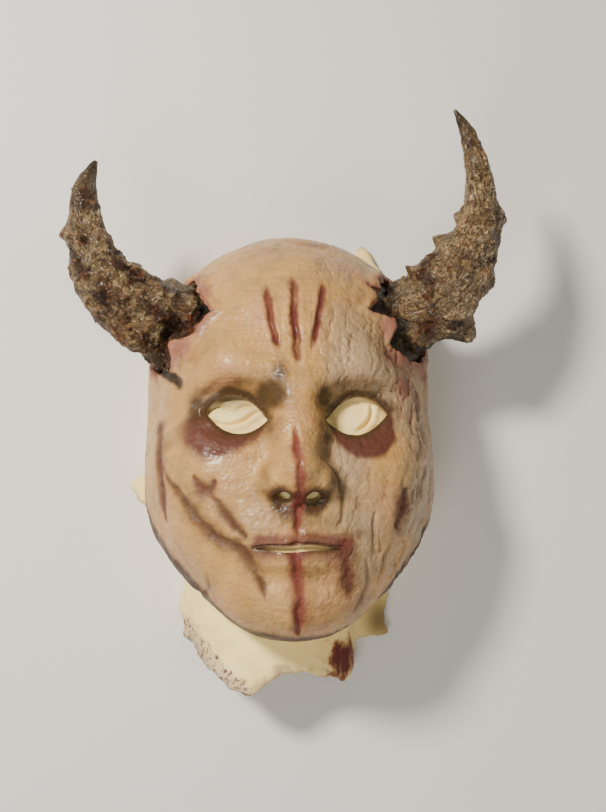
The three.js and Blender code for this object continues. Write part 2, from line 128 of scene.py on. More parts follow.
# Torn edges: turn in degrees and radius of each corner.
TEAR_LEFT = [
    (0, 30), (11, 28), (24, 32), (36, 32), (43, 25.5), (51, 23), (60, 23.5), (68, 26.5), (76, 29.5),
    (86, 28.5), (95, 32.5), (99, 36.5), (107, 32), (125, 26.5), (146, 26), (169, 28), (190, 31),
    (212, 27), (236, 31), (262, 25.5), (288, 30), (314, 25.5), (340, 29.5),
]
TEAR_RIGHT = [
    (0, 29), (20, 25), (44, 30), (68, 24), (92, 29), (116, 24.5), (140, 29), (162, 25), (181, 28),
    (200, 24.5), (214, 27), (224, 24.5), (232, 33), (243, 27.5), (254, 32), (263, 38.5), (269, 30),
    (277, 26), (285, 27), (292, 31), (298, 37), (305, 36), (317, 33), (332, 31.5), (348, 29),
]
# Where the skin stands up, round the horns and in the lobes that lap over them: middle, height, width.
RISES = [
    (HORN_LEFT["path"][1], 5, 32), (HORN_RIGHT["path"][1], 5, 32),
    ((-71, 44, 80), 7, 12), ((58, 56, 92), 3, 10),
]
GROWTH = {"high": 0.045, "pitch": 46, "slant": 0.8}  # rings across a horn, as a share of its radius
FLUTES = [(0.05, 3, 5), (0.035, 5, -9)]  # height as a share of the radius, count, twist
FOOT = {"radius": 40, "low": 39}
ROOT_AT = 0.12
ROOT_POST = 64
TEAR_GAP = 1.6

# Rims: side, crown and chin angle in degrees from the line of sight, and waver. The clear one is half a
# degree wider here than the solid's.
MASK_RIM = (97, 92, 74, 1.1)
MASK_RIM_CLEAR = (98.5, 93.5, 72.5, 1.1)
FORM_RIM = (124, 116, 112, 0)
CORE_RIM = (124, 116, 118, 0)
NECK = {"x": -11, "half": 53, "top": -80, "end": -170, "inside": -40, "cut": 90, "past": 10}
NECK_END = [
    (-90, -110), (-58, -125), (-51, -138), (-41, -145), (-28, -153), (-19, -152), (-7, -142),
    (8.5, -141), (25, -143), (33, -149), (38, -147), (42, -132), (90, -116), (90, -200), (-90, -200),
]
BRIM = {"high": 6, "wide": 2, "slope": -0.42, "waves": [(1.6, 7, 0), (1.2, 12, 2)]}
PLUG = {"inset": 3, "low": -10}
CROWN_TAB = [(28, 102), (39.5, 118.5), (50, 131), (57, 122), (64, 110), (49, 90)]
EAR_TAB = [
    (-72, -16), (-85, -25), (-91, -24.5), (-97, -28), (-97, -32), (-93, -36), (-92, -41), (-86, -42),
    (-70, -34),
]
LEFT_TAB = [(-45, -84), (-65.5, -94.5), (-66, -108), (-63.5, -118), (-57, -127), (-35, -131), (-29, -95)]
RIGHT_TAB = [
    (50, -82), (65, -95), (63.5, -101), (61.5, -108), (63.5, -120.5), (57, -124), (46, -123),
    (20, -131), (20, -95),
]
WIDE_SQUARE = [(-300, -300), (300, -300), (300, 300), (-300, 300)]
WELL_BELOW, WELL_ABOVE = -200, 200
TABS = [(0, 7, CROWN_TAB), (3, 16, EAR_TAB), (0, 8, LEFT_TAB), (0, 8, RIGHT_TAB)]
TAB_STAGGER = 0.01


# Noise

# Odd numbers that scatter the corners of the noise's lattice.
SCATTER = (374761393, 668265263, 1440662683, 1274126177)
WORD = 0xFFFFFFFF
HALF_WORD = 0xFFFF
STRAND_THIN = 2.2


def lattice(x, y, z, seed):
    """A value from -1 to 1 at each corner, with no pattern from one to the next."""
    n = sum(part * big for part, big in zip((x, y, z, seed), SCATTER)) & WORD
    n = ((n ^ (n >> 13)) * SCATTER[-1]) & WORD
    return ((n ^ (n >> 16)) & HALF_WORD) / (HALF_WORD / 2) - 1


def noise(p, seed=0):
    """Smooth noise from -1 to 1, one lattice cell to a unit."""
    cell = np.floor(p)
    f = p - cell
    f = f * f * (3 - 2 * f)
    x, y, z = (cell[..., i].astype(np.int64) for i in range(3))
    total = np.zeros(p.shape[:-1])
    for i, j, k in np.ndindex(2, 2, 2):
        weight = (f[..., 0] if i else 1 - f[..., 0]) * (f[..., 1] if j else 1 - f[..., 1])
        weight = weight * (f[..., 2] if k else 1 - f[..., 2])
        total += weight * lattice(x + i, y + j, z + k, seed)
    return total


def cloud(p, size, octaves=3, seed=0):
    """Noise in several sizes, the largest being size millimetres."""
    return sum(noise(p / size * 2**i, seed + 17 * i) / 2**i for i in range(octaves))


def strands(p, size, octaves=2, seed=0):
    """0 to 1, high along thin winding lines."""
    total = 0
    for i in range(octaves):
        off_line = np.abs(noise(p / size * 2**i, seed + 31 * i)) * STRAND_THIN
        total = total + (1 - np.minimum(off_line, 1)) / 2**i
    return total / (2 - 2.0 ** (1 - octaves))


# The head's fields

FAR_OUT = 200.0
STRIDE = 0.8
TINY = 1e-9
EDGE_SCALE = 9


def join(a, b, soft):
    h = np.maximum(soft - np.abs(a - b), 0) / soft
    return np.minimum(a, b) - h * h * soft / 4


def length(v):
    return np.sqrt(np.einsum("...i,...i->...", v, v))


def ball(p, centre, radii):
    q = p - np.array(centre, float)
    r = np.array(radii, float)
    near = length(q / r)
    return near * (near - 1) / np.maximum(length(q / r**2), TINY)


def roll(p, start, end, ends):
    a = np.array(start, float)
    axis = np.array(end, float) - a
    h = np.clip((p - a) @ axis / (axis @ axis), 0, 1)
    return length(p - a - h[..., None] * axis) - (ends[0] + (ends[1] - ends[0]) * h)


def sculpt(m, clay, d):
    """Joins lumps of clay to a field, or takes them away where they are hollows."""
    for lump in clay:
        hollow = lump[-1] is True
        *sizes, soft = lump[:-1] if hollow else lump
        body = ball(m, *sizes) if len(sizes) == 2 else roll(m, *sizes)
        d = -join(-d, body, soft) if hollow else join(d, body, soft)
    return d


def mirrored(p):
    return np.stack([np.abs(p[..., 0]), p[..., 1], p[..., 2]], -1)


def skull_field(m):
    return join(ball(m, *SKULL), ball(m, *JAW), JAW_SOFT)


def lift_field(p):
    return sum(high * bump(length(p - np.array(middle, float)), wide) for middle, high, wide in RISES)


def mask_field(p):
    m = mirrored(p)
    clay = HEAD_CLAY + BROW_CLAY + LID_CLAY + NOSE_CLAY + LIP_CLAY
    return sculpt(m, clay, skull_field(m)) - lift_field(p)


def plaster_field(p):
    m = mirrored(p)
    head = sculpt(m, HEAD_CLAY, skull_field(m))
    return sculpt(m, BROW_CLAY + PLASTER_CLAY, head + PLASTER_SHRINK)


def reach(field, way, level=0, start=FAR_OUT, steps=70):
    """Distance from SIGHT to where a field comes to a level, walked inward along each way."""
    r = np.full(way.shape[:-1], 1.0) * start
    for _ in range(steps):
        r = r - STRIDE * (field(SIGHT + way * r[..., None]) - level)
    return r


def skin_reach(way, **found):
    return reach(mask_field, way, 0, **found)


def lining_reach(way, **found):
    return reach(mask_field, way, -SKIN, **found) - LINING_SLACK


def under_skin_reach(way, **found):
    return lining_reach(way, **found) - REST_GAP


def form_reach(way, **found):
    lifted = lift_field(SIGHT + way * skin_reach(way, **found)[..., None])
    return np.minimum(under_skin_reach(way, **found) - lifted, reach(plaster_field, way, 0, **found))


def core_reach(way, **found):
    return reach(skull_field, way, -SKIN - REST_GAP - PLASTER - CORE_SLACK, **found)


def rim_angle(rim, turn):
    side, crown, chin, waver = rim
    mean = (crown + chin + 2 * side) / 4
    wave = np.sin(5 * turn + 1) + 0.7 * np.sin(9 * turn)
    upright = (crown - chin) / 2 * np.sin(turn)
    return np.radians(mean + upright + (side - mean) * np.cos(2 * turn) + waver * wave)


def direction(rim, u, v, ragged=0):
    """Ways from SIGHT for a square grid pressed into a round one that ends at a rim."""
    x = u * np.sqrt(1 - v * v / 2)
    y = v * np.sqrt(1 - u * u / 2)
    turn = np.arctan2(y, x)
    tilt = np.hypot(x, y) * (rim_angle(rim, turn) + ragged * edge_waver(turn))
    return np.stack([np.sin(tilt) * np.cos(turn), np.sin(tilt) * np.sin(turn), np.cos(tilt)], -1)


def edge_waver(turn):
    ring = np.stack([np.cos(turn) * EDGE_SCALE, np.sin(turn) * EDGE_SCALE, 0 * turn], -1)
    return cloud(ring, 1.0, 3, 5)


def from_sight(p):
    """Distance of points from SIGHT, their turn about the line of sight and their tilt from it."""
    q = p - SIGHT
    far = length(q)
    return far, np.arctan2(q[:, 1], q[:, 0]), np.arccos(np.clip(q[:, 2] / far, -1, 1))


def stops(*pairs):
    """Grid lines from value to value, each given with the count of steps to the next."""
    lines = []
    for (value, count), (following, _) in zip(pairs, pairs[1:]):
        lines += [value + (following - value) * k / count for k in range(count)]
    return np.array(lines + [pairs[-1][0]])


def turns(count):
    """Even turns round a circle, in radians."""
    return np.linspace(0, 2 * math.pi, count, endpoint=False)


def circle(turn, radius):
    return np.column_stack([radius * np.cos(turn), radius * np.sin(turn)])


# Meshes

COARSE_LINES = 41
LAST_STEPS = 18


def to_frame(p):
    return (np.asarray(p, float) - BOX_CENTRE) * MM


def mesh_object(name, points, faces):
    """An object in head millimetres; it is turned into metres when the piece is finished."""
    mesh = bpy.data.meshes.new(name)
    points = np.asarray(points, np.float32)
    mesh.vertices.add(len(points))
    mesh.vertices.foreach_set("co", points.ravel())
    sizes = np.array([len(f) for f in faces], np.int32)
    corners = np.concatenate([np.asarray(f, np.int32) for f in faces])
    mesh.loops.add(len(corners))
    mesh.loops.foreach_set("vertex_index", corners)
    mesh.polygons.add(len(sizes))
    mesh.polygons.foreach_set("loop_start", np.concatenate([[0], np.cumsum(sizes)[:-1]]).astype(np.int32))
    mesh.update(calc_edges=True)
    mesh.validate()
    made = bpy.data.objects.new(name, mesh)
    bpy.context.scene.collection.objects.link(made)
    return made


def vectors(layer, key):
    """The vectors of a mesh's points, one to a row."""
    found = np.zeros(len(layer) * 3, np.float32)
    layer.foreach_get(key, found)
    return found.reshape(-1, 3).astype(float)


def vertices(made):
    return vectors(made.data.vertices, "co")


def set_vertices(made, points):
    made.data.vertices.foreach_set("co", np.asarray(points, np.float32).ravel())
    made.data.update()


def grid_faces(number, points):
    """Triangles of a grid of numbered points, each quad split on its shorter diagonal."""
    a, b = number[:-1, :-1].ravel(), number[:-1, 1:].ravel()
    c, d = number[1:, 1:].ravel(), number[1:, :-1].ravel()
    across = length(points[a] - points[c]) < length(points[b] - points[d])
    one = np.stack([a, b, np.where(across, c, d)], -1)
    two = np.stack([np.where(across, a, b), c, d], -1)
    return np.concatenate([one, two])


def lookup(table, xs, ys, x, y):
    """Bilinear values of a table."""
    i = np.clip(np.searchsorted(xs, x, "right") - 1, 0, len(xs) - 2)
    j = np.clip(np.searchsorted(ys, y, "right") - 1, 0, len(ys) - 2)
    fx = (x - xs[i]) / (xs[i + 1] - xs[i])
    fy = (y - ys[j]) / (ys[j + 1] - ys[j])
    low = table[j, i] * (1 - fx) + table[j, i + 1] * fx
    high = table[j + 1, i] * (1 - fx) + table[j + 1, i + 1] * fx
    return low * (1 - fy) + high * fy


def dome(name, rim, columns, rows, length_of, relief=None, ragged=0):
    """A closed dome: the grid pressed out to a field, and a fan back to SIGHT."""
    u, v = np.meshgrid(columns, rows)
    way = direction(rim, u, v, ragged)
    coarse = np.linspace(-1, 1, COARSE_LINES)
    table = length_of(direction(rim, *np.meshgrid(coarse, coarse)))
    r = length_of(way, start=lookup(table, coarse, coarse, u, v), steps=LAST_STEPS)
    points = (SIGHT + way * r[..., None]).reshape(-1, 3)
    if relief:
        points = points + way.reshape(-1, 3) * relief(points)[:, None]
    number = np.arange(len(points)).reshape(u.shape)
    edge = np.concatenate([number[0, :-1], number[:-1, -1], number[-1, :0:-1], number[:0:-1, 0]])
    fan = np.stack([np.roll(edge, -1), edge, np.full(len(edge), len(points))], -1)
    faces = np.concatenate([grid_faces(number, points), fan])
    return mesh_object(name, np.concatenate([points, [SIGHT]]), faces)


def even_dome(name, rim, count, length_of):
    lines = np.linspace(-1, 1, count)
    return dome(name, rim, lines, lines, length_of)


def ring_solid(name, rings):
    """A closed bar through rings of points, with a flat face at each end."""
    count = len(rings[0])
    last = (len(rings) - 1) * count
    faces = [list(range(count))[::-1], list(range(last, last + count))]
    for start in range(0, last, count):
        for k in range(count):
            a, b = start + k, start + (k + 1) % count
            faces.append([a, b, b + count, a + count])
    return mesh_object(name, np.concatenate(rings), faces)


def prism(name, outline, low, high):
    """An upright bar with the outline's corners, given anticlockwise or clockwise."""
    outline = np.asarray(outline, float)
    x, y = outline.T
    if np.sum(x * np.roll(y, -1) - y * np.roll(x, -1)) < 0:
        outline = outline[::-1]
    return ring_solid(name, [np.column_stack([outline, np.full(len(outline), z)]) for z in (low, high)])


def placed(made, matrix):
    made.data.transform(matrix)
    return made


def applied(made):
    """An object with its modifiers made part of its mesh."""
    graph = bpy.context.evaluated_depsgraph_get()
    mesh = bpy.data.meshes.new_from_object(made.evaluated_get(graph))
    made.modifiers.clear()
    made.data = mesh
    return made


def combine(base, others, operation):
    """Cuts or joins solids and returns the one that is left; the others go."""
    for other in others:
        change = base.modifiers.new("change", "BOOLEAN")
        change.operation = operation
        change.solver = "MANIFOLD"
        change.object = other
    applied(base)
    for other in others:
        bpy.data.objects.remove(other)
    return base


def copy_of(made):
    twin = made.copy()
    twin.data = made.data.copy()
    bpy.context.scene.collection.objects.link(twin)
    return twin


def largest(made):
    """Keeps the body with the most points, without the slivers that a cut has left."""
    mesh = made.data
    edges = np.zeros(len(mesh.edges) * 2, np.int32)
    mesh.edges.foreach_get("vertices", edges)
    a, b = edges.reshape(-1, 2).T
    label = np.arange(len(mesh.vertices))
    while True:
        low = np.minimum(label[a], label[b])
        before = label.copy()
        np.minimum.at(label, a, low)
        np.minimum.at(label, b, low)
        label = label[label]
        if np.array_equal(label, before):
            break
    kept = np.bincount(label).argmax()
    if (label == kept).all():
        return made
    points = vertices(made)
    index = np.cumsum(label == kept) - 1
    faces = [[index[v] for v in f.vertices] for f in mesh.polygons if label[f.vertices[0]] == kept]
    name = made.name
    bpy.data.objects.remove(made)
    return mesh_object(name, points[label == kept], faces)


def remeshed(made, size):
    """Even faces all over, with the sharpest edges worn down a little."""
    even = made.modifiers.new("even", "REMESH")
    even.mode = "VOXEL"
    even.voxel_size = size
    worn = made.modifiers.new("worn", "SMOOTH")
    worn.iterations = 2
    worn.factor = 0.5
    return applied(made)


def refine(made, chosen):
    """Splits the faces whose middles are chosen."""
    solid = bmesh.new()
    solid.from_mesh(made.data)
    solid.faces.ensure_lookup_table()
    middles = np.array([f.calc_center_median() for f in solid.faces])
    edges = {e for f, use in zip(solid.faces, chosen(middles)) if use for e in f.edges}
    bmesh.ops.subdivide_edges(solid, edges=list(edges), cuts=2, use_grid_fill=True)
    solid.to_mesh(made.data)
    solid.free()


def finish_piece(made, name, material, node, marks, sharp=50):
    """Names a piece, stores its marks on its vertices and moves it into the frame."""
    made.name = name
    made.data.name = name
    for key, values in marks.items():
        layer = made.data.attributes.new(key, "FLOAT", "POINT")
        layer.data.foreach_set("value", np.asarray(values, np.float32))
    set_vertices(made, to_frame(vertices(made)))
    made.data.shade_smooth()
    made.data.set_sharp_from_angle(angle=math.radians(sharp))
    made.data.materials.clear()
    made.data.materials.append(material)
    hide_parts(node)
    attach(made, "root")


# Lines and spots on the face

FAR = 1e9
SET_DOWN = {"from": 150.0, "stride": 0.5, "steps": 160}
OVAL_END = 1.06


def lifted(points):
    """Points of the face's plan, set down onto the latex."""
    z = np.full(len(points), SET_DOWN["from"])
    for _ in range(SET_DOWN["steps"]):
        z = z - SET_DOWN["stride"] * mask_field(np.column_stack([points, z]))
    return np.column_stack([points, z])


def curved(points, rounds=2):
    """Rounds a line's corners."""
    line = np.array(points, float)
    for _ in range(rounds):
        a, b = line[:-1], line[1:]
        middle = np.stack([a * 0.75 + b * 0.25, a * 0.25 + b * 0.75], 1).reshape(-1, line.shape[1])
        line = np.concatenate([line[:1], middle, line[-1:]])
    return line


def from_line(p, line, closed=False):
    """Distance of points from a line, and the way along it from 0 to 1."""
    line = np.asarray(line, float)
    if closed:
        line = np.concatenate([line, line[:1]])
    steps = length(line[1:] - line[:-1])
    walked = np.concatenate([[0], np.cumsum(steps)])
    best = np.full(len(p), FAR)
    at = np.zeros(len(p))
    for a, b, start, run in zip(line[:-1], line[1:], walked, steps):
        axis = b - a
        h = np.clip((p - a) @ axis / max(axis @ axis, TINY), 0, 1)
        d = length(p - a - h[:, None] * axis)
        nearer = d < best
        best[nearer] = d[nearer]
        at[nearer] = (start + h[nearer] * run) / walked[-1]
    return best, at


def bump(d, wide):
    return np.exp(-(d / wide) ** 2)


def step(x, low, high):
    t = np.clip((x - low) / (high - low), 0, 1)
    return t * t * (3 - 2 * t)


def fall(x, low, high):
    """1 up to low, falling to 0 at high."""
    return 1 - step(x, low, high)


def taper(at, share=0.12):
    """1 along a line, falling to 0 at both ends over a share of its length."""
    return step(at, 0, share) * fall(at, 1 - share, 1)


def ridges(d, table):
    """Ridges beside a line, from a table of distance, width and height; grooves are below 0."""
    return sum(high * bump(d - at, wide) for at, wide, high in table)


def groove(d, wide, deep, border, border_at, border_wide):
    """A groove with swollen borders, whose place and width are shares of the groove's width."""
    return border * bump(d - border_at * wide, border_wide * wide) - deep * bump(d, wide)


def spot(p, centre, radii):
    q = (p[:, :len(radii)] - np.array(centre, float)) / np.array(radii, float)
    return np.exp(-np.einsum("ij,ij->i", q, q))


def spotted(p, front, table):
    """The strongest of a table's spots at each point of the front."""
    found = np.zeros(len(p))
    for x, y, wide, high, most in table:
        found = np.maximum(found, most * front * spot(p, (x, y), (wide, high)))
    return found


def oval(p, x, y, wide, high, turn, fades):
    """1 well inside a turned oval of the plan, falling to 0 across its edge."""
    turn = math.radians(turn)
    right, up = p[:, 0] - x, p[:, 1] - y
    along = right * math.cos(turn) + up * math.sin(turn)
    across = up * math.cos(turn) - right * math.sin(turn)
    return fall(np.hypot(along / wide, across / high), fades, OVAL_END)


# Wounds: points of the plan, width of the groove, its depth, height of its swollen border, and how
# much of each paint it wears: dark core, red, brown.
WOUNDS = [
    # the split down the nose, then a wider one down lips and chin
    ([(-2, -8), (-1.6, -20), (-0.8, -32), (0, -39), (-0.2, -47), (-0.6, -55), (-0.6, -63.5),
      (-1.5, -69.5)], 1.7, 1.3, 0.3, 0.6, 1.0, 0.4),
    ([(-0.6, -66), (-1.5, -73), (-1.3, -79.7), (-1.2, -88), (0.8, -96.6), (1.5, -106), (0.5, -119)],
     2.0, 1.9, 0.6, 0.6, 1.0, 0.4),
    # left cheek, from the edge of the mask to the mouth and down the chin
    ([(-73.6, -25), (-70, -34), (-64.3, -42), (-56.8, -51.3), (-49.5, -60.3), (-44, -65.6), (-37, -70),
      (-30, -72.5), (-25.7, -78), (-21.3, -86.4), (-17.8, -92.4), (-15.5, -102)],
     2.9, 1.8, 0.1, 0.8, 0.15, 1.0),
    ([(-47.9, -43.9), (-44.3, -47.5), (-39, -53.7), (-33.7, -59.8), (-29.3, -65), (-25, -68)],
     2.2, 1.3, 0.05, 0.65, 0.2, 1.0),
    ([(-56, -33), (-52.4, -39.4), (-47.9, -43.9), (-42.7, -36)], 2.3, 1.2, 0.05, 0.6, 0.4, 1.0),
    ([(-75, 1), (-75.5, -12), (-75, -22), (-74, -32), (-72.5, -45), (-71, -60)],
     3.8, 1.5, 0.3, 0.9, 0.45, 1.0),
    # right: nose wing to the corner of the mouth, on down the chin, then short ones on cheek and jaw
    ([(9, -24), (17.2, -31), (21.8, -38), (23.3, -49.2), (21.8, -60), (19, -66)],
     1.4, 1.1, 0.3, 0.6, 0.1, 0.9),
    ([(24.7, -66), (24.7, -75), (25.9, -83.8), (27.9, -90.5), (28.8, -101)], 3.4, 1.3, 0.1, 0.1, 0.5, 0.9),
    ([(15.7, -86), (18, -98.5)], 0.8, 0.7, 0.2, 0.1, 0, 0.4),
    ([(36.6, -76), (38, -86), (36, -97), (30, -108)], 1.1, 1.1, 0.4, 0.35, 0, 0.6),
    ([(42, -52), (40, -64), (41.5, -76)], 1.1, 1.1, 0.4, 0.2, 0.0, 0.5),
    ([(59.5, -38), (57.5, -46), (56.4, -53), (53.5, -63)], 3.0, 1.8, 0.6, 0.45, 0.35, 1.0),
    ([(50, -68), (47, -80), (43, -92)], 1.2, 1.2, 0.5, 0.2, 0.0, 0.5),
    ([(62, -66), (57, -80), (52, -90)], 1.3, 1.3, 0.5, 0.15, 0.0, 0.5),
    # lower left
    ([(-49.6, -82), (-45.8, -89.8), (-47, -97), (-54.9, -95.3), (-60.8, -88)], 1.3, 0.8, 0.3, 0.15, 0, 0.5),
]
# Claw gouges on the forehead: points of the plan, width, depth, height of the border.
CLAWS = [
    ([(-17, 76), (-16.6, 62), (-13.5, 46), (-9.5, 30)], 1.5, 1.6, 0.4),
    ([(-1.5, 82), (-1.8, 64), (-0.9, 44), (-0.2, 20)], 1.8, 1.9, 0.5),
    ([(14.5, 79), (13.8, 62), (10.4, 46), (6.6, 31)], 1.45, 1.6, 0.4),
]
# The dark band from the left horn to the brow: a groove darkened with painted shade.
STRIP_LINE = [(-82, 37), (-77, 31), (-70, 24.5), (-64, 18), (-60, 13)]

# Ridges and, below 0, grooves beside an edge: distance from it, width, height.
LID_EDGE = [(3.0, 2.6, 0.4), (0, 1.1, -1.0)]
UPPER_LID = [(7.2, 1.8, -0.8)]
EYE_BAG = [(8, 4.5, 0.5), (15, 3.5, -0.5)]
LIP_EDGE = [(0, 0.9, -1.2)]
TEAR_EDGE = [(0, 1.2, -1.8), (9, 2.6, -0.7)]
NOSTRIL_EDGE = [(4.2, 1.6, -1.3)]
STRIP_GROOVE = [(0, 2.6, -1.3)]

# Spots of the face: middle, reach each way and strength. For cracks and dents the strength is a depth.
CRACKED = [(33, 58, 20, 24, 0.5), (12, -92, 22, 12, 0.4)]
DENTS = [(27.4, -37, 2.6, 2.6, 1.0), (33.9, -50, 3.2, 3.2, 1.2), (-31, -47, 2.2, 2.2, 0.5)]
RED_SPOTS = [
    (25.5, -69, 5.5, 8, 0.7), (33.5, -66, 6, 4, 0.35), (-50, -40, 6, 5, 0.5), (57, -50, 5, 11, 0.6),
    (0, -74, 16, 5, 0.3), (0, -34, 5, 13, 0.5),
]
BROWN_SPOTS = [(57, -50, 6, 12, 0.75), (-50, -58, 7, 6, 0.6)]
BROWN_BLOTS = [(28, -76, 7, 13, 0.65), (-49.5, -41, 5.5, 4, 0.85), (-75, -5, 3.5, 6, 1.0)]
GREEN_SPOTS = [(-52, -90, 11, 9, 0.6), (-62, -12, 8, 16, 0.5), (0, -57, 17, 8, 0.6)]
RAW_SPOTS = [
    (-67, 40, 13, 13, 0.9), (-57, 50, 9, 8, 0.9), (-54, 72, 7, 13, 0.9), (51, 74, 8, 10, 0.9),
    (55, 52, 10, 12, 0.9), (60, 36, 13, 11, 0.9), (76, 34, 12, 9, 0.9), (60, 18, 7, 9, 0.9),
]
SHADES = [
    # round the eyes, the brows and the upper nose
    (-15, 9, 11, 10, 1.25), (-10, 20, 5.5, 11, 0.85), (-54, 3, 6.5, 11, 1.1), (-49, 12, 10, 4.5, 0.75),
    (51, 5, 4, 7, 0.6), (14, 8, 6.5, 8.5, 1.0), (-15, -12, 4.5, 13, 0.35), (15.5, -14, 4.5, 16, 0.7),
    (0, 17, 5, 6, 0.3), (-36, 15, 22, 4, 0.65), (34, 15, 22, 4, 0.65),
    # round the lower nose, the mouth and the chin
    (17.5, -38, 4.5, 7, 0.75), (-18, -36, 4, 8, 0.5), (-20, -44, 8, 6, 0.35), (-8, -58, 12, 5, 0.3),
    (3, -58, 16, 6, 0.55), (15, -59, 8, 6.5, 0.5), (-29, -68, 8, 2.2, 0.6), (28, -66, 7, 2.2, 0.5),
    (-24, -72, 7, 3.5, 0.45), (24, -71, 7, 4, 0.6), (0, -88, 16, 3, 0.25),
]
# Bruises under the eyes, as ovals of the plan: middle, reach each way, turn in degrees, the part of the
# reach where they begin to fade, and strength.
BRUISES = [
    (-42, -9, 26, 19, 14, 0.58, 1.0), (-27, -13, 15, 8, 28, 0.4, 0.75), (36, -8, 20, 18.5, -25, 0.78, 1.0),
]


def shape_of(line):
    return lifted(curved(line, 3))


STRIP = shape_of(STRIP_LINE)
WOUND_LINES = [(shape_of(line), *rest) for line, *rest in WOUNDS]
CLAW_LINES = [(shape_of(line), *rest) for line, *rest in CLAWS]


def quadratic(a, b, c, count):
    t = np.linspace(0, 1, count)[:, None]
    a, b, c = (np.array(v, float) for v in (a, b, c))
    return (1 - t) ** 2 * a + 2 * t * (1 - t) * b + t * t * c


def two_bows(left, low, right, high, count):
    """An outline of two bows between a left and a right corner."""
    lower, upper = quadratic(left, low, right, count), quadratic(right, high, left, count)
    return np.concatenate([lower[:-1], upper[:-1]])


def eye_outline(side):
    half, high = EYE["width"] / 2, EYE["height"]
    points = two_bows((-half, -1), (-half * 0.1, -high * 0.95), (half, 0.6), (half * 0.1, high * 1.02), 40)
    c, s = math.cos(EYE["tilt"]), math.sin(EYE["tilt"])
    turned = points @ np.array([[c, s], [-s, c]])
    ragged = noise(np.column_stack([turned / 3.0, np.full(len(turned), 9.0 * side)]), 3) * 0.25
    turned = turned * (1 + ragged / high)[:, None]
    return turned * (side, 1) + (side * EYE["x"], EYE["y"])


def mouth_outline():
    half, high = MOUTH["width"] / 2, MOUTH["height"]
    points = two_bows((-half, 0), (0, -high), (half, 0), (0, high), 60)
    sag = 0.5 * np.sin(points[:, 0] / 5.5) * (1 - (points[:, 0] / half) ** 2)
    return points + np.column_stack([np.zeros(len(points)), MOUTH["y"] + sag])


EYES = {side: eye_outline(side) for side in (-1, 1)}
LIPS = mouth_outline()


# Measures of the horns and of the holes that they tear

TEARS = [(HORN_LEFT, TEAR_LEFT, 3), (HORN_RIGHT, TEAR_RIGHT, 8)]
TANGENT_STEP = 0.012
TIP_AT = 0.9985
HORN_STRANDS = [(9.0, 2, 62), (3.8, 2, 63), (1.9, 1, 67)]  # size, octaves, seed


def catmull(four, t):
    """A point of a centripetal curve through four points."""
    a, b, c = [max(float(length(four[i + 1] - four[i])) ** 0.5, 1e-4) for i in range(3)]
    first = (four[1] - four[0]) / a - (four[2] - four[0]) / (a + b) + (four[2] - four[1]) / b
    second = (four[2] - four[1]) / b - (four[3] - four[1]) / (b + c) + (four[3] - four[2]) / c
    first, second = first * b, second * b
    p, q = four[1], four[2]
    square, cube = -3 * p + 3 * q - 2 * first - second, 2 * p - 2 * q + first + second
    return p + first * t + square * t**2 + cube * t**3


def horn_table(horn, count=200):
    """The horn's middle line by arc length, as the solid's curve has it."""
    path = np.array(horn["path"], float)
    path = np.concatenate([[2 * path[0] - path[1]], path, [2 * path[-1] - path[-2]]])
    spans = len(path) - 3
    samples = []
    for place in (k / count * spans for k in range(count + 1)):
        span = min(int(place), spans - 1)
        samples.append(catmull(path[span:span + 4], place - span))
    samples = np.array(samples)
    walked = np.concatenate([[0], np.cumsum(length(samples[1:] - samples[:-1]))])
    return samples, walked


def horn_frame(horn, t):
    """Middle, tangent, outer way and back way of a horn at shares of its length."""
    samples, walked = horn_table(horn)
    t = np.atleast_1d(t)

    def at(share):
        return np.column_stack([np.interp(share, walked / walked[-1], part) for part in samples.T])

    tangent = at(np.clip(t + TANGENT_STEP, 0, 1)) - at(np.clip(t - TANGENT_STEP, 0, 1))
    tangent /= length(tangent)[:, None]
    outer = np.cross((0, 0, 1.0), tangent)
    outer *= -horn["side"] / length(outer)[:, None]
    back = np.cross(outer, tangent)
    back *= -horn["side"] / length(back)[:, None]
    return at(t), tangent, outer, back


def horn_radius(horn, t, turn):
    path = np.array(horn["path"], float)
    steps = length(path[1:] - path[:-1])
    total = steps.sum()
    walked = np.concatenate([[0], np.cumsum(steps)]) / total
    radius = np.interp(t, walked, horn["radii"])
    rings = GROWTH["high"] * np.sin(t * GROWTH["pitch"] + GROWTH["slant"] * np.cos(turn)) * (1 - t)
    flutes = sum(high * np.sin(count * turn + twist * t) for high, count, twist in FLUTES)
    swell = 0
    for at, where, high, wide in horn["knobs"]:
        away = turn - math.radians(where)
        swing = np.arctan2(np.sin(away), np.cos(away)) * radius
        run = (t - at) * total
        swell = swell + high * np.exp(-(swing**2 + run**2) / wide**2)
    return radius * (1 + rings + flutes) + swell


def root_axes(horn):
    """Outer way, way up the face and tangent at a horn's root, and the middle of the root."""
    _, tangent, outer, _ = horn_frame(horn, ROOT_AT)
    return outer[0], np.cross(tangent[0], outer[0]), tangent[0], np.array(horn["path"][1], float)


def tear_radius(corners, turn, seed):
    """Distance from the horn's line to the torn edge of the skin, by turn."""
    degrees, radii = np.array(corners, float).T
    plain = np.interp(np.degrees(turn) % 360, degrees, radii, period=360)
    ring = np.stack([np.cos(turn), np.sin(turn), 0 * turn + seed], -1)
    return plain + 0.9 * cloud(ring * 5, 1.0, 2, seed) + 0.35 * cloud(ring * 18, 1.0, 2, seed + 1)


def from_tear(p, horn, corners, seed):
    """How far outside a tear's edge points lie."""
    outer, up, _, root = root_axes(horn)
    x, y = (p - root) @ outer, (p - root) @ up
    return np.hypot(x, y) - tear_radius(corners, np.arctan2(y, x), seed)


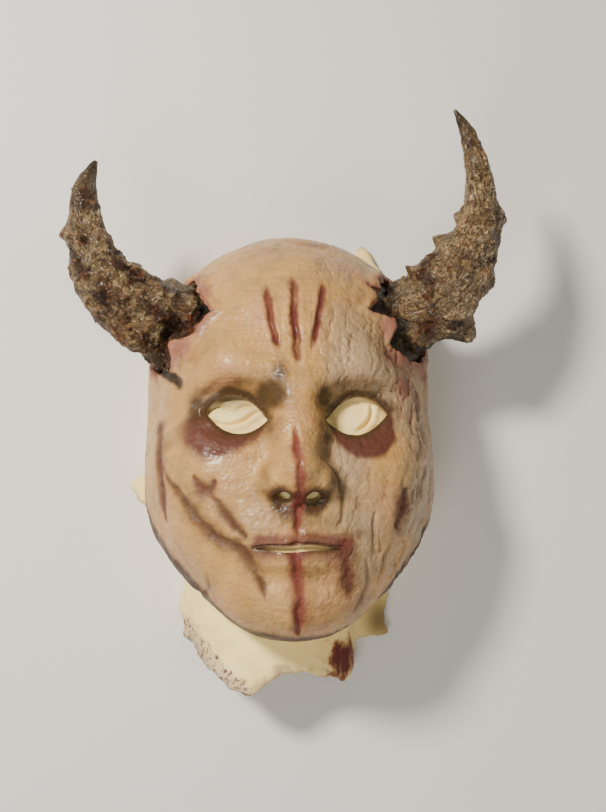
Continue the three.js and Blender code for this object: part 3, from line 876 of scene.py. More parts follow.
def nostril_axis(side):
    lean, splay = math.radians(-NOSTRIL["lean"]), math.radians(-NOSTRIL["splay"] * side)
    turned = Matrix.Rotation(splay, 4, "Z") @ Matrix.Rotation(lean, 4, "X")
    return Matrix.Translation((side * NOSTRIL["x"], NOSTRIL["y"], NOSTRIL["z"])) @ turned


def from_nostril(p):
    """Distance from the nearer nostril's middle line, past its mouth from its end."""
    best = np.full(len(p), FAR)
    for side in (-1, 1):
        m = nostril_axis(side)
        axis = np.array(m.to_3x3() @ Vector((0, 1, 0)))
        q = p - np.array(m.translation)
        along = q @ axis
        past = np.maximum(-along - NOSTRIL["run"], 0)
        best = np.minimum(best, np.hypot(length(q - along[:, None] * axis), past))
    return best


# The latex face

# How the strands of worn skin and of the side's fold lines lean, and what they and the brush marks measure.
WORN_STRANDS = {"lean": -0.12, "sizes": (5.6, 28, 14)}
FOLD_STRANDS = {"lean": 0.18, "sizes": (7.5, 46, 14)}
BRUSH_SIZES = (9, 1.7, 6)
WANDER = 0.9
# Lines of the grid, closest round the eyes, the nose and the mouth.
FACE_COLUMNS = stops((-1, 28), (-0.62, 58), (-0.25, 128), (0.25, 58), (0.62, 28), (1, 0))
FACE_ROWS = stops((-1, 20), (-0.85, 128), (-0.3, 80), (0.2, 40), (0.5, 28), (1, 0))


def leaning(p, lean, sizes):
    """Places measured in a size each way, along lines that lean."""
    x, y, z = p.T
    return np.column_stack([x + lean * y, y, z]) / sizes


def face_places(p):
    """Everything that both the relief and the paint of the latex are measured from."""
    x, y, z = p.T
    warp = np.column_stack([cloud(p, 7, 2, seed) for seed in (41, 42, 43)])
    w = p + WANDER * warp
    front = step(z, 40, 60)
    f = {"warp": warp, "w": w, "front": front, "eyes": {}, "nostril": from_nostril(p)}
    for side, outline in EYES.items():
        d, _ = from_line(w[:, :2], outline, closed=True)
        across = (x - side * EYE["x"]) / EYE["width"] * 2
        rise = (y - EYE["y"]) / EYE["height"] * 2 - EYE["tilt"] * across * side
        f["eyes"][side] = (d, rise / np.maximum(np.hypot(across, rise), TINY))
    f["lips"], _ = from_line(p[:, :2], LIPS, closed=True)
    f["tear"] = np.minimum(*[from_tear(w, *tear) for tear in TEARS])
    f["wounds"] = [(from_line(w, line), rest) for line, *rest in WOUND_LINES]
    f["claws"] = [(from_line(w, line), rest) for line, *rest in CLAW_LINES]
    d, at = from_line(w, STRIP)
    f["strip"] = (d, step(1 - at, 0, 0.2))
    worn = np.maximum(0.25 + 0.75 * step(x, -6, 34), 0.7 * spot(p, (-22, -58), (22, 20)))
    f["worn"] = worn * (0.7 + 0.5 * cloud(p, 24, 2, 44)) + 0.9 * spot(p, (58, 38), (22, 26)) * front
    f["crinkled"] = strands(leaning(p, **WORN_STRANDS) + 0.4 * warp, 1.0, 3, 15)
    f["crumpled"] = strands(p + 1.2 * warp, 4.6, 2, 16)
    f["fold"] = strands(leaning(p, **FOLD_STRANDS) + 0.12 * warp, 1.0, 2, 77)
    f["fold_at"] = step(x, 30, 52) * step(y, -118, -96) * fall(y, 4, 34) * step(z, 20, 50)
    return f


def skin_relief(p):
    """How far the painted latex stands out from its plain form."""
    f = face_places(p)
    warp, front, lip, tear = (f[key] for key in ("warp", "front", "lips", "tear"))
    high = 0.45 * cloud(p, 16, 3, 1) + 0.10 * noise(p / BRUSH_SIZES + 0.4 * warp, 2)
    for (d, at), (wide, deep, border, *_) in f["wounds"]:
        high += taper(at) * (0.8 + 0.3 * warp[:, 0]) * groove(d, wide, deep, border, 2.3, 1.5)
    for (d, at), (wide, deep, border) in f["claws"]:
        high += taper(at, 0.3) * (0.9 + 0.25 * warp[:, 1]) * groove(d, wide, deep, border, 2.1, 1.3)
    for d, above in f["eyes"].values():
        upper, lower = step(above, 0.1, 0.7), step(-above, 0.1, 0.6)
        high += ridges(d, LID_EDGE) + upper * ridges(d, UPPER_LID) + lower * ridges(d, EYE_BAG)
        creased = np.sin(d * 2.1 + 3.2 * warp[:, 0]) * (0.6 + 0.5 * warp[:, 1])
        high -= 0.14 * lower * creased * step(d, 3, 5) * fall(d, 11, 16)
    creased = np.abs(np.sin(p[:, 0] * 1.15 + 1.5 * warp[:, 0]))
    high += ridges(lip, LIP_EDGE) + 0.05 * (creased - 0.5) * step(lip, 0.5, 2) * fall(lip, 6, 9)
    high += (1.3 + 0.9 * warp[:, 0]) * bump(tear - 3.5, 3.0) + ridges(tear, TEAR_EDGE)
    high -= f["fold_at"] * (2.0 * f["fold"] ** 3 - 0.55)
    high -= f["worn"] * (1.6 * f["crinkled"] ** 2.5 + 0.4 * f["crumpled"] ** 3 - 0.4)
    d, keep = f["strip"]
    high += keep * ridges(d, STRIP_GROOVE) + ridges(f["nostril"], NOSTRIL_EDGE)
    cracked = strands(p * (1, 1, 0.6) + 1.5 * warp, 7, 2, 12) ** 5
    return high - cracked * spotted(p, front, CRACKED) - spotted(p, front, DENTS)


def nostril_cutter(side):
    """A bar with three soft corners, higher than it is wide."""
    turn = turns(40)
    r = NOSTRIL["radius"] * (1 + 0.05 * np.sin(3 * turn + side))
    x, z = 0.9 * r * np.cos(turn), -1.3 * r * np.sin(turn)
    ends = (-NOSTRIL["deep"] / 2, NOSTRIL["deep"] / 2)
    rings = [np.column_stack([x, np.full(len(turn), end), z]) for end in ends]
    return placed(ring_solid("nostril_cut", rings), nostril_axis(side))


def root_post(horn, radius_of):
    """A post along a horn's root, its radius given by turn."""
    outer, up, tangent, root = root_axes(horn)
    turn = turns(180)
    made = prism("post", circle(turn, radius_of(turn)), -ROOT_POST / 2, ROOT_POST / 2)
    axes = Matrix(np.column_stack([outer, up, tangent]).tolist()).to_4x4()
    axes.translation = Vector(root)
    return placed(made, axes)


def make_skin():
    face = dome("skin", MASK_RIM, FACE_COLUMNS, FACE_ROWS, skin_reach, skin_relief, ragged=0.012)
    cutters = [even_dome("lining", FORM_RIM, 61, lining_reach)]
    cutters += [prism("eye_cut", EYES[side], EYE["z"], EYE["z"] + CUT_DEPTH) for side in (-1, 1)]
    cutters.append(prism("mouth_cut", LIPS, MOUTH["z"], MOUTH["z"] + CUT_DEPTH))
    cutters += [nostril_cutter(-1), nostril_cutter(1)]
    for horn, corners, seed in TEARS:
        cutters.append(root_post(horn, lambda turn: tear_radius(corners, turn, seed)))
        cutters.append(horn_solid(horn, grow=TEAR_GAP, rings=120, sides=60, relief=False))
    return largest(combine(face, cutters, "DIFFERENCE"))


# The horns

def horn_strands(p):
    """Wide, middle and fine strands of a horn, each from 0 to 1."""
    warped = p + 1.6 * np.column_stack([cloud(p, 6, 2, seed) for seed in (64, 65, 66)])
    return [strands(warped, *kind) ** 2 for kind in HORN_STRANDS]


def welt_height(horn, p):
    """Raised rims that run across a horn, each with a step down on its tip side."""
    total = np.zeros(len(p))
    for at, turn in horn["welts"]:
        centre, tangent, outer, back = (part[0] for part in horn_frame(horn, at))
        axis = tangent + math.tan(math.radians(turn)) * outer + 0.3 * back
        past = (p - centre) @ (axis / length(axis)) + 1.4 * cloud(p, 9, 2, 68)
        near = fall(length(p - centre), 24, 30)
        total = total + near * (0.9 * bump(past, 0.9) - 0.8 * step(past, 0, 1.2) * fall(past, 2, 12))
    return total


def horn_relief(horn, t, p):
    """Strands, pits and cross ridges of a horn, lower toward its tip."""
    wide, middle, fine = horn_strands(p)
    high = 1.5 * cloud(p, 12, 2, 61) + 2.2 * (wide - 0.35) + 0.9 * (middle - 0.3) + 0.4 * (fine - 0.3)
    return high * (1 - 0.75 * t**1.5) + welt_height(horn, p)


def horn_solid(horn, grow=0.0, rings=460, sides=150, relief=True):
    """A horn as rings along its middle line; grow makes a fatter one for cutting clearance."""
    t = np.append(np.arange(rings) / rings, TIP_AT)
    centre, _, outer, back = horn_frame(horn, t)
    tt, aa = np.meshgrid(t, turns(sides), indexing="ij")
    r = horn_radius(horn, tt, aa) + grow
    ways = outer[:, None] * np.cos(aa)[..., None] + back[:, None] * np.sin(aa)[..., None]
    points = (centre[:, None] + ways * r[..., None]).reshape(-1, 3)
    if relief:
        points = points + ways.reshape(-1, 3) * horn_relief(horn, tt.ravel(), points)[:, None]
    number = np.arange(len(points)).reshape(tt.shape)
    after = np.roll(number, -1, 1)
    quads = np.stack([number[:-1], after[:-1], after[1:], number[1:]], -1).reshape(-1, 4)
    foot = np.full(sides, len(points))
    foot_cap = np.stack([after[0], number[0], foot], -1)
    tip_cap = np.stack([number[-1], after[-1], foot + 1], -1)
    points = np.concatenate([points, [horn["path"][0]], [horn["path"][-1]]])
    made = mesh_object("horn", points, [*quads, *foot_cap, *tip_cap])
    # The left horn's rings run the other way round.
    if horn["side"] < 0:
        made.data.flip_normals()
    return made


def make_horn(horn, under_skin, form_grown):
    """A horn and its foot, which spreads out between skin and plaster."""
    post = root_post(horn, lambda turn: np.full(len(turn), float(FOOT["radius"])))
    above = prism("above", WIDE_SQUARE, FOOT["low"], WELL_ABOVE)
    foot = combine(copy_of(under_skin), [post, above], "INTERSECT")
    whole = combine(horn_solid(horn), [foot], "UNION")
    return combine(whole, [copy_of(form_grown)], "DIFFERENCE")


# The plaster form

FORM_VOXEL = 1.85
EYE_AREA = {"wide": 22, "tall": 18, "low": 84}
# Lines on the plaster's shut eyes: points, width, depth.
LID_LINES = [
    ([(-50, 0), (-45, -4.5), (-38, -6.5), (-30, -4.5), (-24, 0), (-18, 2)], 1.0, 1.9),
    ([(-49, 2.5), (-43, 5), (-37, 4.2), (-33, 2.2), (-28, 5), (-19, 4)], 1.0, 1.3),
    ([(42, 8), (42, 1), (38.5, -5.5), (32, -9)], 1.1, 1.9),
]


def half_tube(name, half, start, end, rings=60, sides=64, skirt=12):
    """A half round tunnel that stands open on the table."""
    arch = np.vstack([[half, -skirt], circle(np.linspace(0, math.pi, sides), half), [-half, -skirt]])
    slices = [np.insert(arch + (NECK["x"], 0), 1, y, axis=1) for y in np.linspace(start, end, rings)]
    return ring_solid(name, slices)


def jagged(points, steps, rough, seed):
    """An outline with its sides broken into short uneven pieces."""
    line = np.array(points, float)
    broken = []
    for a, b in zip(line, np.roll(line, -1, 0)):
        count = max(int(np.hypot(*(b - a)) / steps), 1)
        broken += [a + (b - a) * k / count for k in range(count)]
    spots = np.column_stack([np.array(broken) / 3.2, np.full(len(broken), float(seed))])
    shake = np.column_stack([cloud(spots, 1, 3, seed), cloud(spots + 9.5, 1, 3, seed + 1)])
    return broken + rough * shake


def brim_outline():
    turn = turns(220)
    way = np.column_stack([circle(turn, 1), np.full(len(turn), BRIM["slope"])])
    way /= length(way)[:, None]
    wide = BRIM["wide"] + sum(high * np.sin(count * turn + shift) for high, count, shift in BRIM["waves"])
    return way[:, :2] * form_reach(way)[:, None] + circle(turn, wide)


def core_plug():
    """The core's lower end, taken on down through the table."""
    turn = turns(72)
    way = np.column_stack([circle(turn, 1), 0 * turn])
    return prism("plug", circle(turn, core_reach(way) - PLUG["inset"]), PLUG["low"], SIGHT[2])


def make_form():
    """The plaster form before its surface is roughened."""
    solids = [half_tube("neck", NECK["half"], NECK["top"], NECK["end"])]
    solids.append(prism("brim", brim_outline(), 0.0, BRIM["high"]))
    for i, (low, high, points) in enumerate(TABS):
        solids.append(prism("tab", jagged(points, 2.0, 0.5, 20 + i), low + TAB_STAGGER * i, high))
    core = combine(even_dome("core", CORE_RIM, 61, core_reach), [core_plug()], "UNION")
    neck_way = half_tube("neck_way", NECK["half"] - PLASTER, NECK["inside"], NECK["end"] - NECK["past"])
    cutters = [core, neck_way]
    cutters.append(prism("neck_end", jagged(NECK_END, 1.6, 1.5, 30), WELL_BELOW, NECK["cut"]))
    cutters.append(prism("table", WIDE_SQUARE, WELL_BELOW, 0))
    whole = combine(even_dome("head", FORM_RIM, 121, form_reach), solids, "UNION")
    return combine(whole, cutters, "DIFFERENCE")


def from_eye_line(x):
    """Distance to the side from the nearer eye's middle."""
    return np.abs(np.abs(x) - EYE["x"])


def near_eyes(p):
    sides, high = from_eye_line(p[:, 0]) < EYE_AREA["wide"], np.abs(p[:, 1]) < EYE_AREA["tall"]
    return (p[:, 2] > EYE_AREA["low"]) & sides & high


def under_latex(p):
    _, turn, tilt = from_sight(p)
    return (tilt < rim_angle(MASK_RIM_CLEAR, turn)) & (mask_field(p) > -9)


def plaster_edges(p):
    """1 along the broken edges of neck and tabs, falling to 0 some way in."""
    d, _ = from_line(p[:, :2], NECK_END[:-2])
    edge = fall(d, 2, 11)
    for _, high, points in TABS:
        near, _ = from_line(p[:, :2], points, closed=True)
        edge = np.maximum(edge, 0.7 * fall(near, 0.5, 4) * fall(p[:, 2], high + 1, high + 4))
    rim = fall(p[:, 2], 4, 8) * step(p[:, 1], -100, -80)
    return np.maximum(edge, 0.6 * rim)


def roughen_form(made):
    """Wears, pits and breaks the plaster; what lies under the latex is only ever cut, never raised."""
    remeshed(made, FORM_VOXEL)
    refine(made, near_eyes)
    p = vertices(made)
    x, y, z = p.T
    edge = plaster_edges(p)
    high = 0.22 * cloud(p, 9, 4, 81) + 0.5 * edge * cloud(p, 3.4, 3, 82) + 0.9 * edge * cloud(p, 8, 2, 83)
    high += 1.5 * cloud(p, 19, 3, 86) * fall(y, -112, -98)
    high -= 0.5 * strands(p, 6, 2, 84) ** 6 * (0.3 + edge)
    eyes = fall(from_eye_line(x), 17, 20) * step(z, 84, 88) * fall(np.abs(y), 14, 18)
    high *= 1 - 0.75 * eyes
    for points, wide, deep in LID_LINES:
        d, at = from_line(p[:, :2], curved(points))
        high += eyes * taper(at, 0.2) * groove(d, wide, deep, 0.5 * deep, 2.2, 1.6)
    high += eyes * 0.5 * cloud(p, 3, 2, 85) * step(x, 41, 46)
    high = np.where(under_latex(p) & (eyes < 0.5), np.minimum(high, 0) * 0.5 - 0.15, high)
    p = p + vectors(made.data.vertex_normals, "vector") * (high * step(z, 0.2, 2.0))[:, None]
    p[:, 2] = np.maximum(p[:, 2], 0)
    set_vertices(made, p)
    return made


# Paints

def colour(red, green, blue):
    """A screen colour, 0 to 255, as the renderer's light values."""
    values = [v / 255 for v in (red, green, blue)]
    return tuple(v / 12.92 if v <= 0.04045 else ((v + 0.055) / 1.055) ** 2.4 for v in values) + (1.0,)


class Paint:
    """A material and short names for the nodes that it is mixed from."""

    def __init__(self, name):
        self.material = bpy.data.materials.new(name)
        self.material.use_nodes = True
        self.tree = self.material.node_tree
        self.surface = self.tree.nodes["Principled BSDF"]
        self.place = self.tree.nodes.new("ShaderNodeTexCoord").outputs["Object"]

    def feed(self, socket, value):
        """Links another socket to a socket, or sets its value."""
        if isinstance(value, bpy.types.NodeSocket):
            self.tree.links.new(value, socket)
        else:
            socket.default_value = value

    def node(self, kind, inputs, **settings):
        made = self.tree.nodes.new(kind)
        for key, value in settings.items():
            setattr(made, key, value)
        for key, value in inputs.items():
            self.feed(made.inputs[key], value)
        return made

    def mark(self, name):
        return self.node("ShaderNodeAttribute", {}, attribute_name=name).outputs["Fac"]

    def noise(self, scale, detail=4.0, rough=0.55, distortion=0.0, at=None):
        inputs = {"Vector": at or self.place, "Scale": scale, "Detail": detail, "Roughness": rough,
                  "Distortion": distortion}
        return self.node("ShaderNodeTexNoise", inputs).outputs["Fac"]

    def stretched(self, *scale):
        return self.node("ShaderNodeMapping", {"Vector": self.place, "Scale": scale}).outputs["Vector"]

    def cells(self, scale):
        return self.node("ShaderNodeTexVoronoi", {"Vector": self.place, "Scale": scale}).outputs["Distance"]

    def moved(self, at, by, *reach):
        """Places moved by a colour's three parts, each as far as its reach."""
        shift = self.node("ShaderNodeVectorMath", {0: by, 1: reach}, operation="MULTIPLY").outputs[0]
        return self.node("ShaderNodeVectorMath", {0: at, 1: shift}, operation="ADD").outputs[0]

    def maths(self, operation, a, b=0.0):
        return self.node("ShaderNodeMath", {0: a, 1: b}, operation=operation).outputs[0]

    def times(self, a, b):
        return self.maths("MULTIPLY", a, b)

    def add(self, total, *others):
        for other in others:
            total = self.maths("ADD", total, other)
        return total

    def fit(self, value, low, high, to_low=0.0, to_high=1.0):
        inputs = {"Value": value, "From Min": low, "From Max": high, "To Min": to_low, "To Max": to_high}
        return self.node("ShaderNodeMapRange", inputs, interpolation_type="SMOOTHSTEP").outputs["Result"]

    def mix(self, amount, a, b):
        settings = {"data_type": "RGBA", "clamp_factor": True}
        return self.node("ShaderNodeMix", {0: amount, 6: a, 7: b}, **settings).outputs[2]

    def coats(self, under, *layers):
        """Lays screen colours over one another, each by its amount."""
        for amount, tone in layers:
            under = self.mix(amount, under, colour(*tone))
        return under

    def line(self, value, wide):
        """1 where the value crosses a half, falling to 0 at wide from it."""
        return self.fit(self.maths("ABSOLUTE", self.maths("SUBTRACT", value, 0.5)), wide, 0.0)

    def relief(self, height, depth, strength=1.0, after=None):
        inputs = {"Height": height, "Distance": depth, "Strength": strength}
        if after:
            inputs["Normal"] = after
        return self.node("ShaderNodeBump", inputs).outputs["Normal"]

    def set(self, **values):
        for key, value in values.items():
            self.feed(self.surface.inputs[key.replace("_", " ")], value)
        return self.material


# Paints of the face in the order in which they are laid on: mark, colour, where on the mark it begins to
# show and is whole, strength, and whether its edge is finely broken.
SKIN_PAINTS = [
    ("green", (150, 118, 62), 0.1, 1.0, 0.75, False),
    # painted shade in the grooves of the crinkles
    ("creased", (112, 78, 48), 0.1, 1.0, 0.8, False),
    # painted shade in the grooves of the side's folds
    ("fold_shade", (112, 80, 54), 0.1, 1.0, 0.75, True),
    ("raw", (138, 84, 68), 0.1, 0.95, 0.92, False),
    ("rim", (58, 32, 28), 0.06, 0.9, 0.95, True),
    ("bruise", (84, 40, 28), -0.05, 0.92, 0.97, False),
    ("shade", (64, 42, 12), 0.0, 1.05, 0.98, False),
    # painted shade round the nostrils
    ("nostril", (62, 36, 17), 0.08, 0.95, 0.95, False),
    ("lips", (98, 46, 34), 0.05, 0.95, 0.85, False),
    ("brown", (78, 50, 28), 0.04, 0.95, 0.93, False),
    ("red", (108, 42, 34), 0.05, 1.05, 0.92, False),
    ("core", (62, 24, 18), 0.15, 0.95, 0.9, False),
    # painted shade along the groove from the left horn to the brow
    ("strip", (30, 23, 14), 0.1, 0.95, 0.95, False),
]
DULL_MARKS = ("raw", "brown", "bruise", "strip", "red", "shade", "rim")
DULLER = 0.26


def wound_marks(p, f):
    """Dark core, red and brown of the wounds, the claw gouges and the stains round them."""
    front = f["front"]
    core = np.zeros(len(p))
    red = spotted(p, front, RED_SPOTS)
    red = np.maximum(red, 0.6 * spot(p, (12, 107), (14, 5)) * step(p[:, 1], 98, 104))
    brown = np.maximum(spotted(p, front, BROWN_SPOTS), spotted(f["w"], front, BROWN_BLOTS))
    # Painted shade: a thin brown line along the edge of the mouth slit.
    brown = np.maximum(brown, front * 0.85 * bump(f["lips"] - 0.4, 1.6))
    for (d, at), (wide, _, _, dark, reddish, brownish) in f["wounds"]:
        keep = taper(at, 0.08)
        wide = wide * (0.3 + 0.7 * taper(at, 0.35))
        core = np.maximum(core, keep * dark * bump(d, 0.45 * wide))
        red = np.maximum(red, keep * reddish * (0.7 * bump(d, 1.8 * wide) + 0.42 * bump(d, 5 * wide)))
        stain = 0.55 * bump(d, 1.3 * wide) + 0.45 * bump(d, 3.4 * wide)
        brown = np.maximum(brown, keep * brownish * stain)
    for (d, at), (wide, *_) in f["claws"]:
        keep = taper(at, 0.22)
        core = np.maximum(core, 0.75 * keep * bump(d, 0.8 * wide))
        brown = np.maximum(brown, keep * bump(d, 1.5 * wide))
        red = np.maximum(red, keep * (0.75 * bump(d, 1.4 * wide) + 0.22 * bump(d, 3.4 * wide)))
    return {"core": core, "red": np.clip(red, 0, 1), "brown": brown}


def eye_marks(p, f):
    """Shade on the lids, and bruises under the eyes."""
    front = f["front"]
    shade = spotted(p, front, SHADES)
    bruise = np.zeros(len(p))
    for side, (d, above) in f["eyes"].items():
        near = front * fall(np.abs(p[:, 0] - side * EYE["x"]), 26, 38)
        upper, lower = step(above, -0.3, 0.4), step(-above, -0.1, 0.5)
        lid = 0.9 * bump(d - 0.6, 2.6) + 0.42 * fall(d, 3, 14)
        edge, socket = 0.95 * fall(d, 0.3, 4.5), 0.3 * fall(d, 4, 12)
        shade = np.maximum(shade, near * np.maximum(upper * lid, np.maximum(edge, socket)))
        bruise = np.maximum(bruise, near * lower * 0.5 * fall(d, 4, 13))
    for *place, most in BRUISES:
        bruise = np.maximum(bruise, most * front * oval(f["w"], *place))
    return {"shade": np.clip(shade, 0, 1), "bruise": bruise}


def rim_mark(p):
    """1 at the mask's outer edge, falling to 0 some way in, wider toward the chin."""
    far, turn, tilt = from_sight(p)
    away = (rim_angle(MASK_RIM, turn) - tilt) * far
    low = step(-np.sin(turn), 0.35, 0.7)
    return fall(away, 1.5 + 4 * low, 8 + 11 * low) * (0.45 + 0.55 * low)


def skin_marks(p):
    """How much of each paint every point of the latex wears."""
    f = face_places(p)
    front, worn = f["front"], f["worn"]
    upper_lip = step(p[:, 1], MOUTH["y"] - 1, MOUTH["y"] + 1)
    lips = fall(f["lips"], 1.5, 8 + 2 * upper_lip) * fall(np.abs(p[:, 0]), 20, 28)
    torn = 0.9 * fall(f["tear"], 0.5, np.maximum(9 + 8 * f["warp"][:, 2], 3))
    d, keep = f["strip"]
    # Painted shade round the nostrils, fading out some way from them and only on the lower nose.
    nostril = np.clip(1.15 * fall(f["nostril"], 4.5, 14), 0, 1)
    return {
        **wound_marks(p, f),
        **eye_marks(p, f),
        "back": step(-mask_field(p), 2.1, 3.0),
        "nostril": nostril * fall(p[:, 1], -36, -29) * front,
        "lips": front * lips * (0.75 + 0.4 * upper_lip),
        "raw": np.maximum(torn, spotted(p, step(p[:, 2], 10, 30), RAW_SPOTS)),
        "strip": keep * fall(d, 1.6, 4.8),
        # Painted shade in the grooves of the crinkled and crumpled latex.
        "creased": np.clip(worn * (f["crinkled"] ** 3 + 0.5 * f["crumpled"] ** 3), 0, 1),
        "worn": np.clip(worn, 0, 1),
        "rim": rim_mark(p),
        # Painted shade in the grooves of the side's folds.
        "fold_shade": f["fold_at"] * f["fold"] ** 3,
        "green": spotted(p, front, GREEN_SPOTS),
    }


def skin_paint():
    paint = Paint("latex")
    worn = paint.mark("worn")
    middle = paint.noise(75, 5, 0.6)
    brushed = paint.noise(1.0, 5, 0.6, 0.4, paint.stretched(70, 480, 210))
    lengthwise = paint.noise(1.0, 5, 0.65, 1.6, paint.stretched(150, 62, 100))
    specks = paint.fit(paint.cells(330), 0.10, 0.04, 0, 0.35)
    specks = paint.times(specks, paint.fit(paint.noise(60, 2), 0.55, 0.7))
    tans = paint.fit(paint.noise(17, 4, 0.55, 0.3), 0.32, 0.66)
    skin = paint.coats(
        paint.mix(tans, colour(197, 149, 82), colour(176, 134, 77)),
        (paint.fit(middle, 0.35, 0.75, 0, 0.55), (210, 165, 96)),
        (paint.fit(brushed, 0.35, 0.75, 0, 0.5), (160, 122, 84)),
        (paint.times(worn, paint.fit(lengthwise, 0.48, 0.72, 0, 0.65)), (124, 98, 70)),
        (paint.times(worn, paint.fit(lengthwise, 0.4, 0.2, 0, 0.45)), (214, 188, 150)),
        (paint.fit(worn, 0.3, 1.0, 0, 0.75), (160, 139, 110)),
        (paint.fit(paint.noise(38, 4, 0.6), 0.5, 0.68, 0, 0.5), (184, 126, 90)),
        (paint.fit(paint.noise(52, 4, 0.65, 0.6), 0.5, 0.68, 0, 0.5), (148, 124, 80)),
        (specks, (120, 84, 62)),
    )
    broken = paint.noise(230, 4, 0.65)
    soft = paint.noise(90, 4, 0.6)
    soft_edge, broken_edge = (paint.fit(by, 0.25, 0.75, -0.14, 0.14) for by in (soft, broken))
    for name, tone, low, high, most, is_broken in SKIN_PAINTS:
        value = paint.add(paint.mark(name), broken_edge if is_broken else soft_edge)
        skin = paint.coats(skin, (paint.fit(value, low, high, 0, most), tone))
    skin = paint.coats(skin, (paint.mark("back"), (172, 146, 116)))
    height = paint.add(
        paint.times(brushed, 0.45), paint.times(broken, 0.55), paint.times(paint.cells(420), 0.35),
        paint.times(worn, lengthwise),
    )
    pores = paint.relief(paint.noise(520, 4, 0.6), 0.0003, 0.6)
    rough = paint.fit(paint.noise(160, 5, 0.7), 0.36, 0.64, 0.24, 0.6)
    rough = paint.add(rough, *(paint.times(paint.mark(name), DULLER) for name in DULL_MARKS))
    return paint.set(
        Base_Color=skin, Roughness=rough, Normal=paint.relief(height, 0.001, 0.8, pores),
        Subsurface_Weight=0.05, Subsurface_Radius=(1.0, 0.55, 0.35), Subsurface_Scale=0.0015,
        Coat_Weight=0.12, Coat_Roughness=0.18, IOR=1.45,
    )


def horn_marks(p, horn):
    """Where each point lies along, across and behind the horn, and how high its strands are."""
    samples, walked = horn_table(horn)
    nearest = np.zeros(len(p))
    best = np.full(len(p), FAR)
    for place, share in zip(samples[::2], walked[::2] / walked[-1]):
        d = length(p - place)
        closer = d < best
        best[closer] = d[closer]
        nearest[closer] = share
    wide, middle, _ = horn_strands(p)
    centre, _, outer, back = horn_frame(horn, nearest)
    return {
        "along": nearest,
        "strand": 0.45 * wide + 0.55 * middle,
        # how many extra painted glints the horn gets
        "glint_boost": np.full(len(p), horn["glint_boost"]),
        "across": np.einsum("ij,ij->i", p - centre, outer),
        "aft": np.einsum("ij,ij->i", p - centre, back),
        "way": nearest * walked[-1],
    }


def horn_paint():
    """Brown horn under a web of fibre lines that runs along it, with painted glints on the lines, dark at
    the root and grey at the tip.
    """
    paint = Paint("horn")
    along, strand = paint.mark("along"), paint.mark("strand")
    wander = {"Vector": paint.place, "Scale": 90.0, "Detail": 3.0}
    warp = paint.node("ShaderNodeTexNoise", wander).outputs["Color"]
    at = paint.moved(paint.place, warp, 0.012, 0.012, 0.012)
    way = paint.times(paint.mark("way"), 0.28)
    grown = {"X": paint.mark("across"), "Y": paint.mark("aft"), "Z": way}
    grown = paint.moved(paint.node("ShaderNodeCombineXYZ", grown).outputs[0], warp, 5.0, 5.0, 2.0)
    wide_web = paint.line(paint.noise(0.34, 3, 0.65, 0.9, grown), 0.052)
    fine_web = paint.line(paint.noise(0.8, 3, 0.7, 1.1, grown), 0.058)
    web = paint.maths("MAXIMUM", wide_web, paint.times(fine_web, 0.8))
    patch = paint.noise(45, 4, 0.6)
    grain = paint.noise(260, 5, 0.7, 0.8, at)
    raised = paint.add(paint.fit(strand, 0.05, 0.75), paint.fit(grain, 0.3, 0.7, -0.45, 0.45))
    # Painted glints: the web's lines lit cream where they cluster, more toward the middle and on the raised
    # strands.
    middle = paint.times(paint.fit(along, 0.3, 0.5), paint.fit(along, 0.95, 0.7))
    cluster = paint.add(paint.noise(70, 4, 0.6), paint.times(middle, 0.06), paint.mark("glint_boost"))
    lit = paint.times(web, paint.fit(cluster, 0.43, 0.6))
    lit = paint.times(lit, paint.fit(strand, 0.05, 0.5, 0.55, 1.0))
    root = paint.add(along, paint.fit(patch, 0.3, 0.7, -0.06, 0.06))
    horn = paint.coats(
        paint.mix(paint.fit(patch, 0.35, 0.65), colour(44, 20, 7), colour(84, 45, 17)),
        # lighter gold on the raised strands: the horn's own tone, with painted highlight on the ridges
        (paint.fit(raised, 0.3, 1.05, 0, 0.85), (136, 82, 36)),
        (paint.fit(paint.noise(310, 4, 0.7, 0.6, at), 0.45, 0.3, 0, 0.75), (28, 14, 5)),
        # painted glints on the web
        (lit, (255, 222, 164)),
        (paint.fit(along, 0.7, 1.0, 0, 0.75), (70, 56, 38)),
        (paint.fit(root, 0.23, 0.11, 0, 0.95), (24, 18, 13)),
    )
    height = paint.add(wide_web, paint.times(fine_web, 0.6))
    return paint.set(
        Base_Color=horn, Roughness=paint.fit(paint.noise(300, 4, 0.6), 0.3, 0.7, 0.22, 0.42),
        Normal=paint.relief(height, 0.0012, after=paint.relief(grain, 0.0012, 0.8)),
        Coat_Weight=0.12, Coat_Roughness=0.24, IOR=1.45,
    )


# The broken left side of the neck, where the plaster is speckled.
SPECKLED_EDGE = [(-62, -118), (-52, -133), (-41, -144), (-30, -152)]


def form_marks(p):
    d, _ = from_line(p[:, :2], SPECKLED_EDGE)
    # Painted shadow on the plaster eyes under the latex's upper lids: across the left eye, and at the inner
    # corner of the right.
    lids = np.maximum(spot(p, (-37, 9), (17, 6)), 0.6 * spot(p, (21, 8), (8, 5)))
    return {
        "edge": plaster_edges(p),
        "speckled": fall(d, 2, 12),
        "stained": spot(p, (33, -135), (12, 13)),
        # painted shadow of the jaw on the right tab
        "tab_shade": spot(p, (58, -112), (12, 16)),
        "lid_shade": lids * step(p[:, 2], 84, 90),
    }


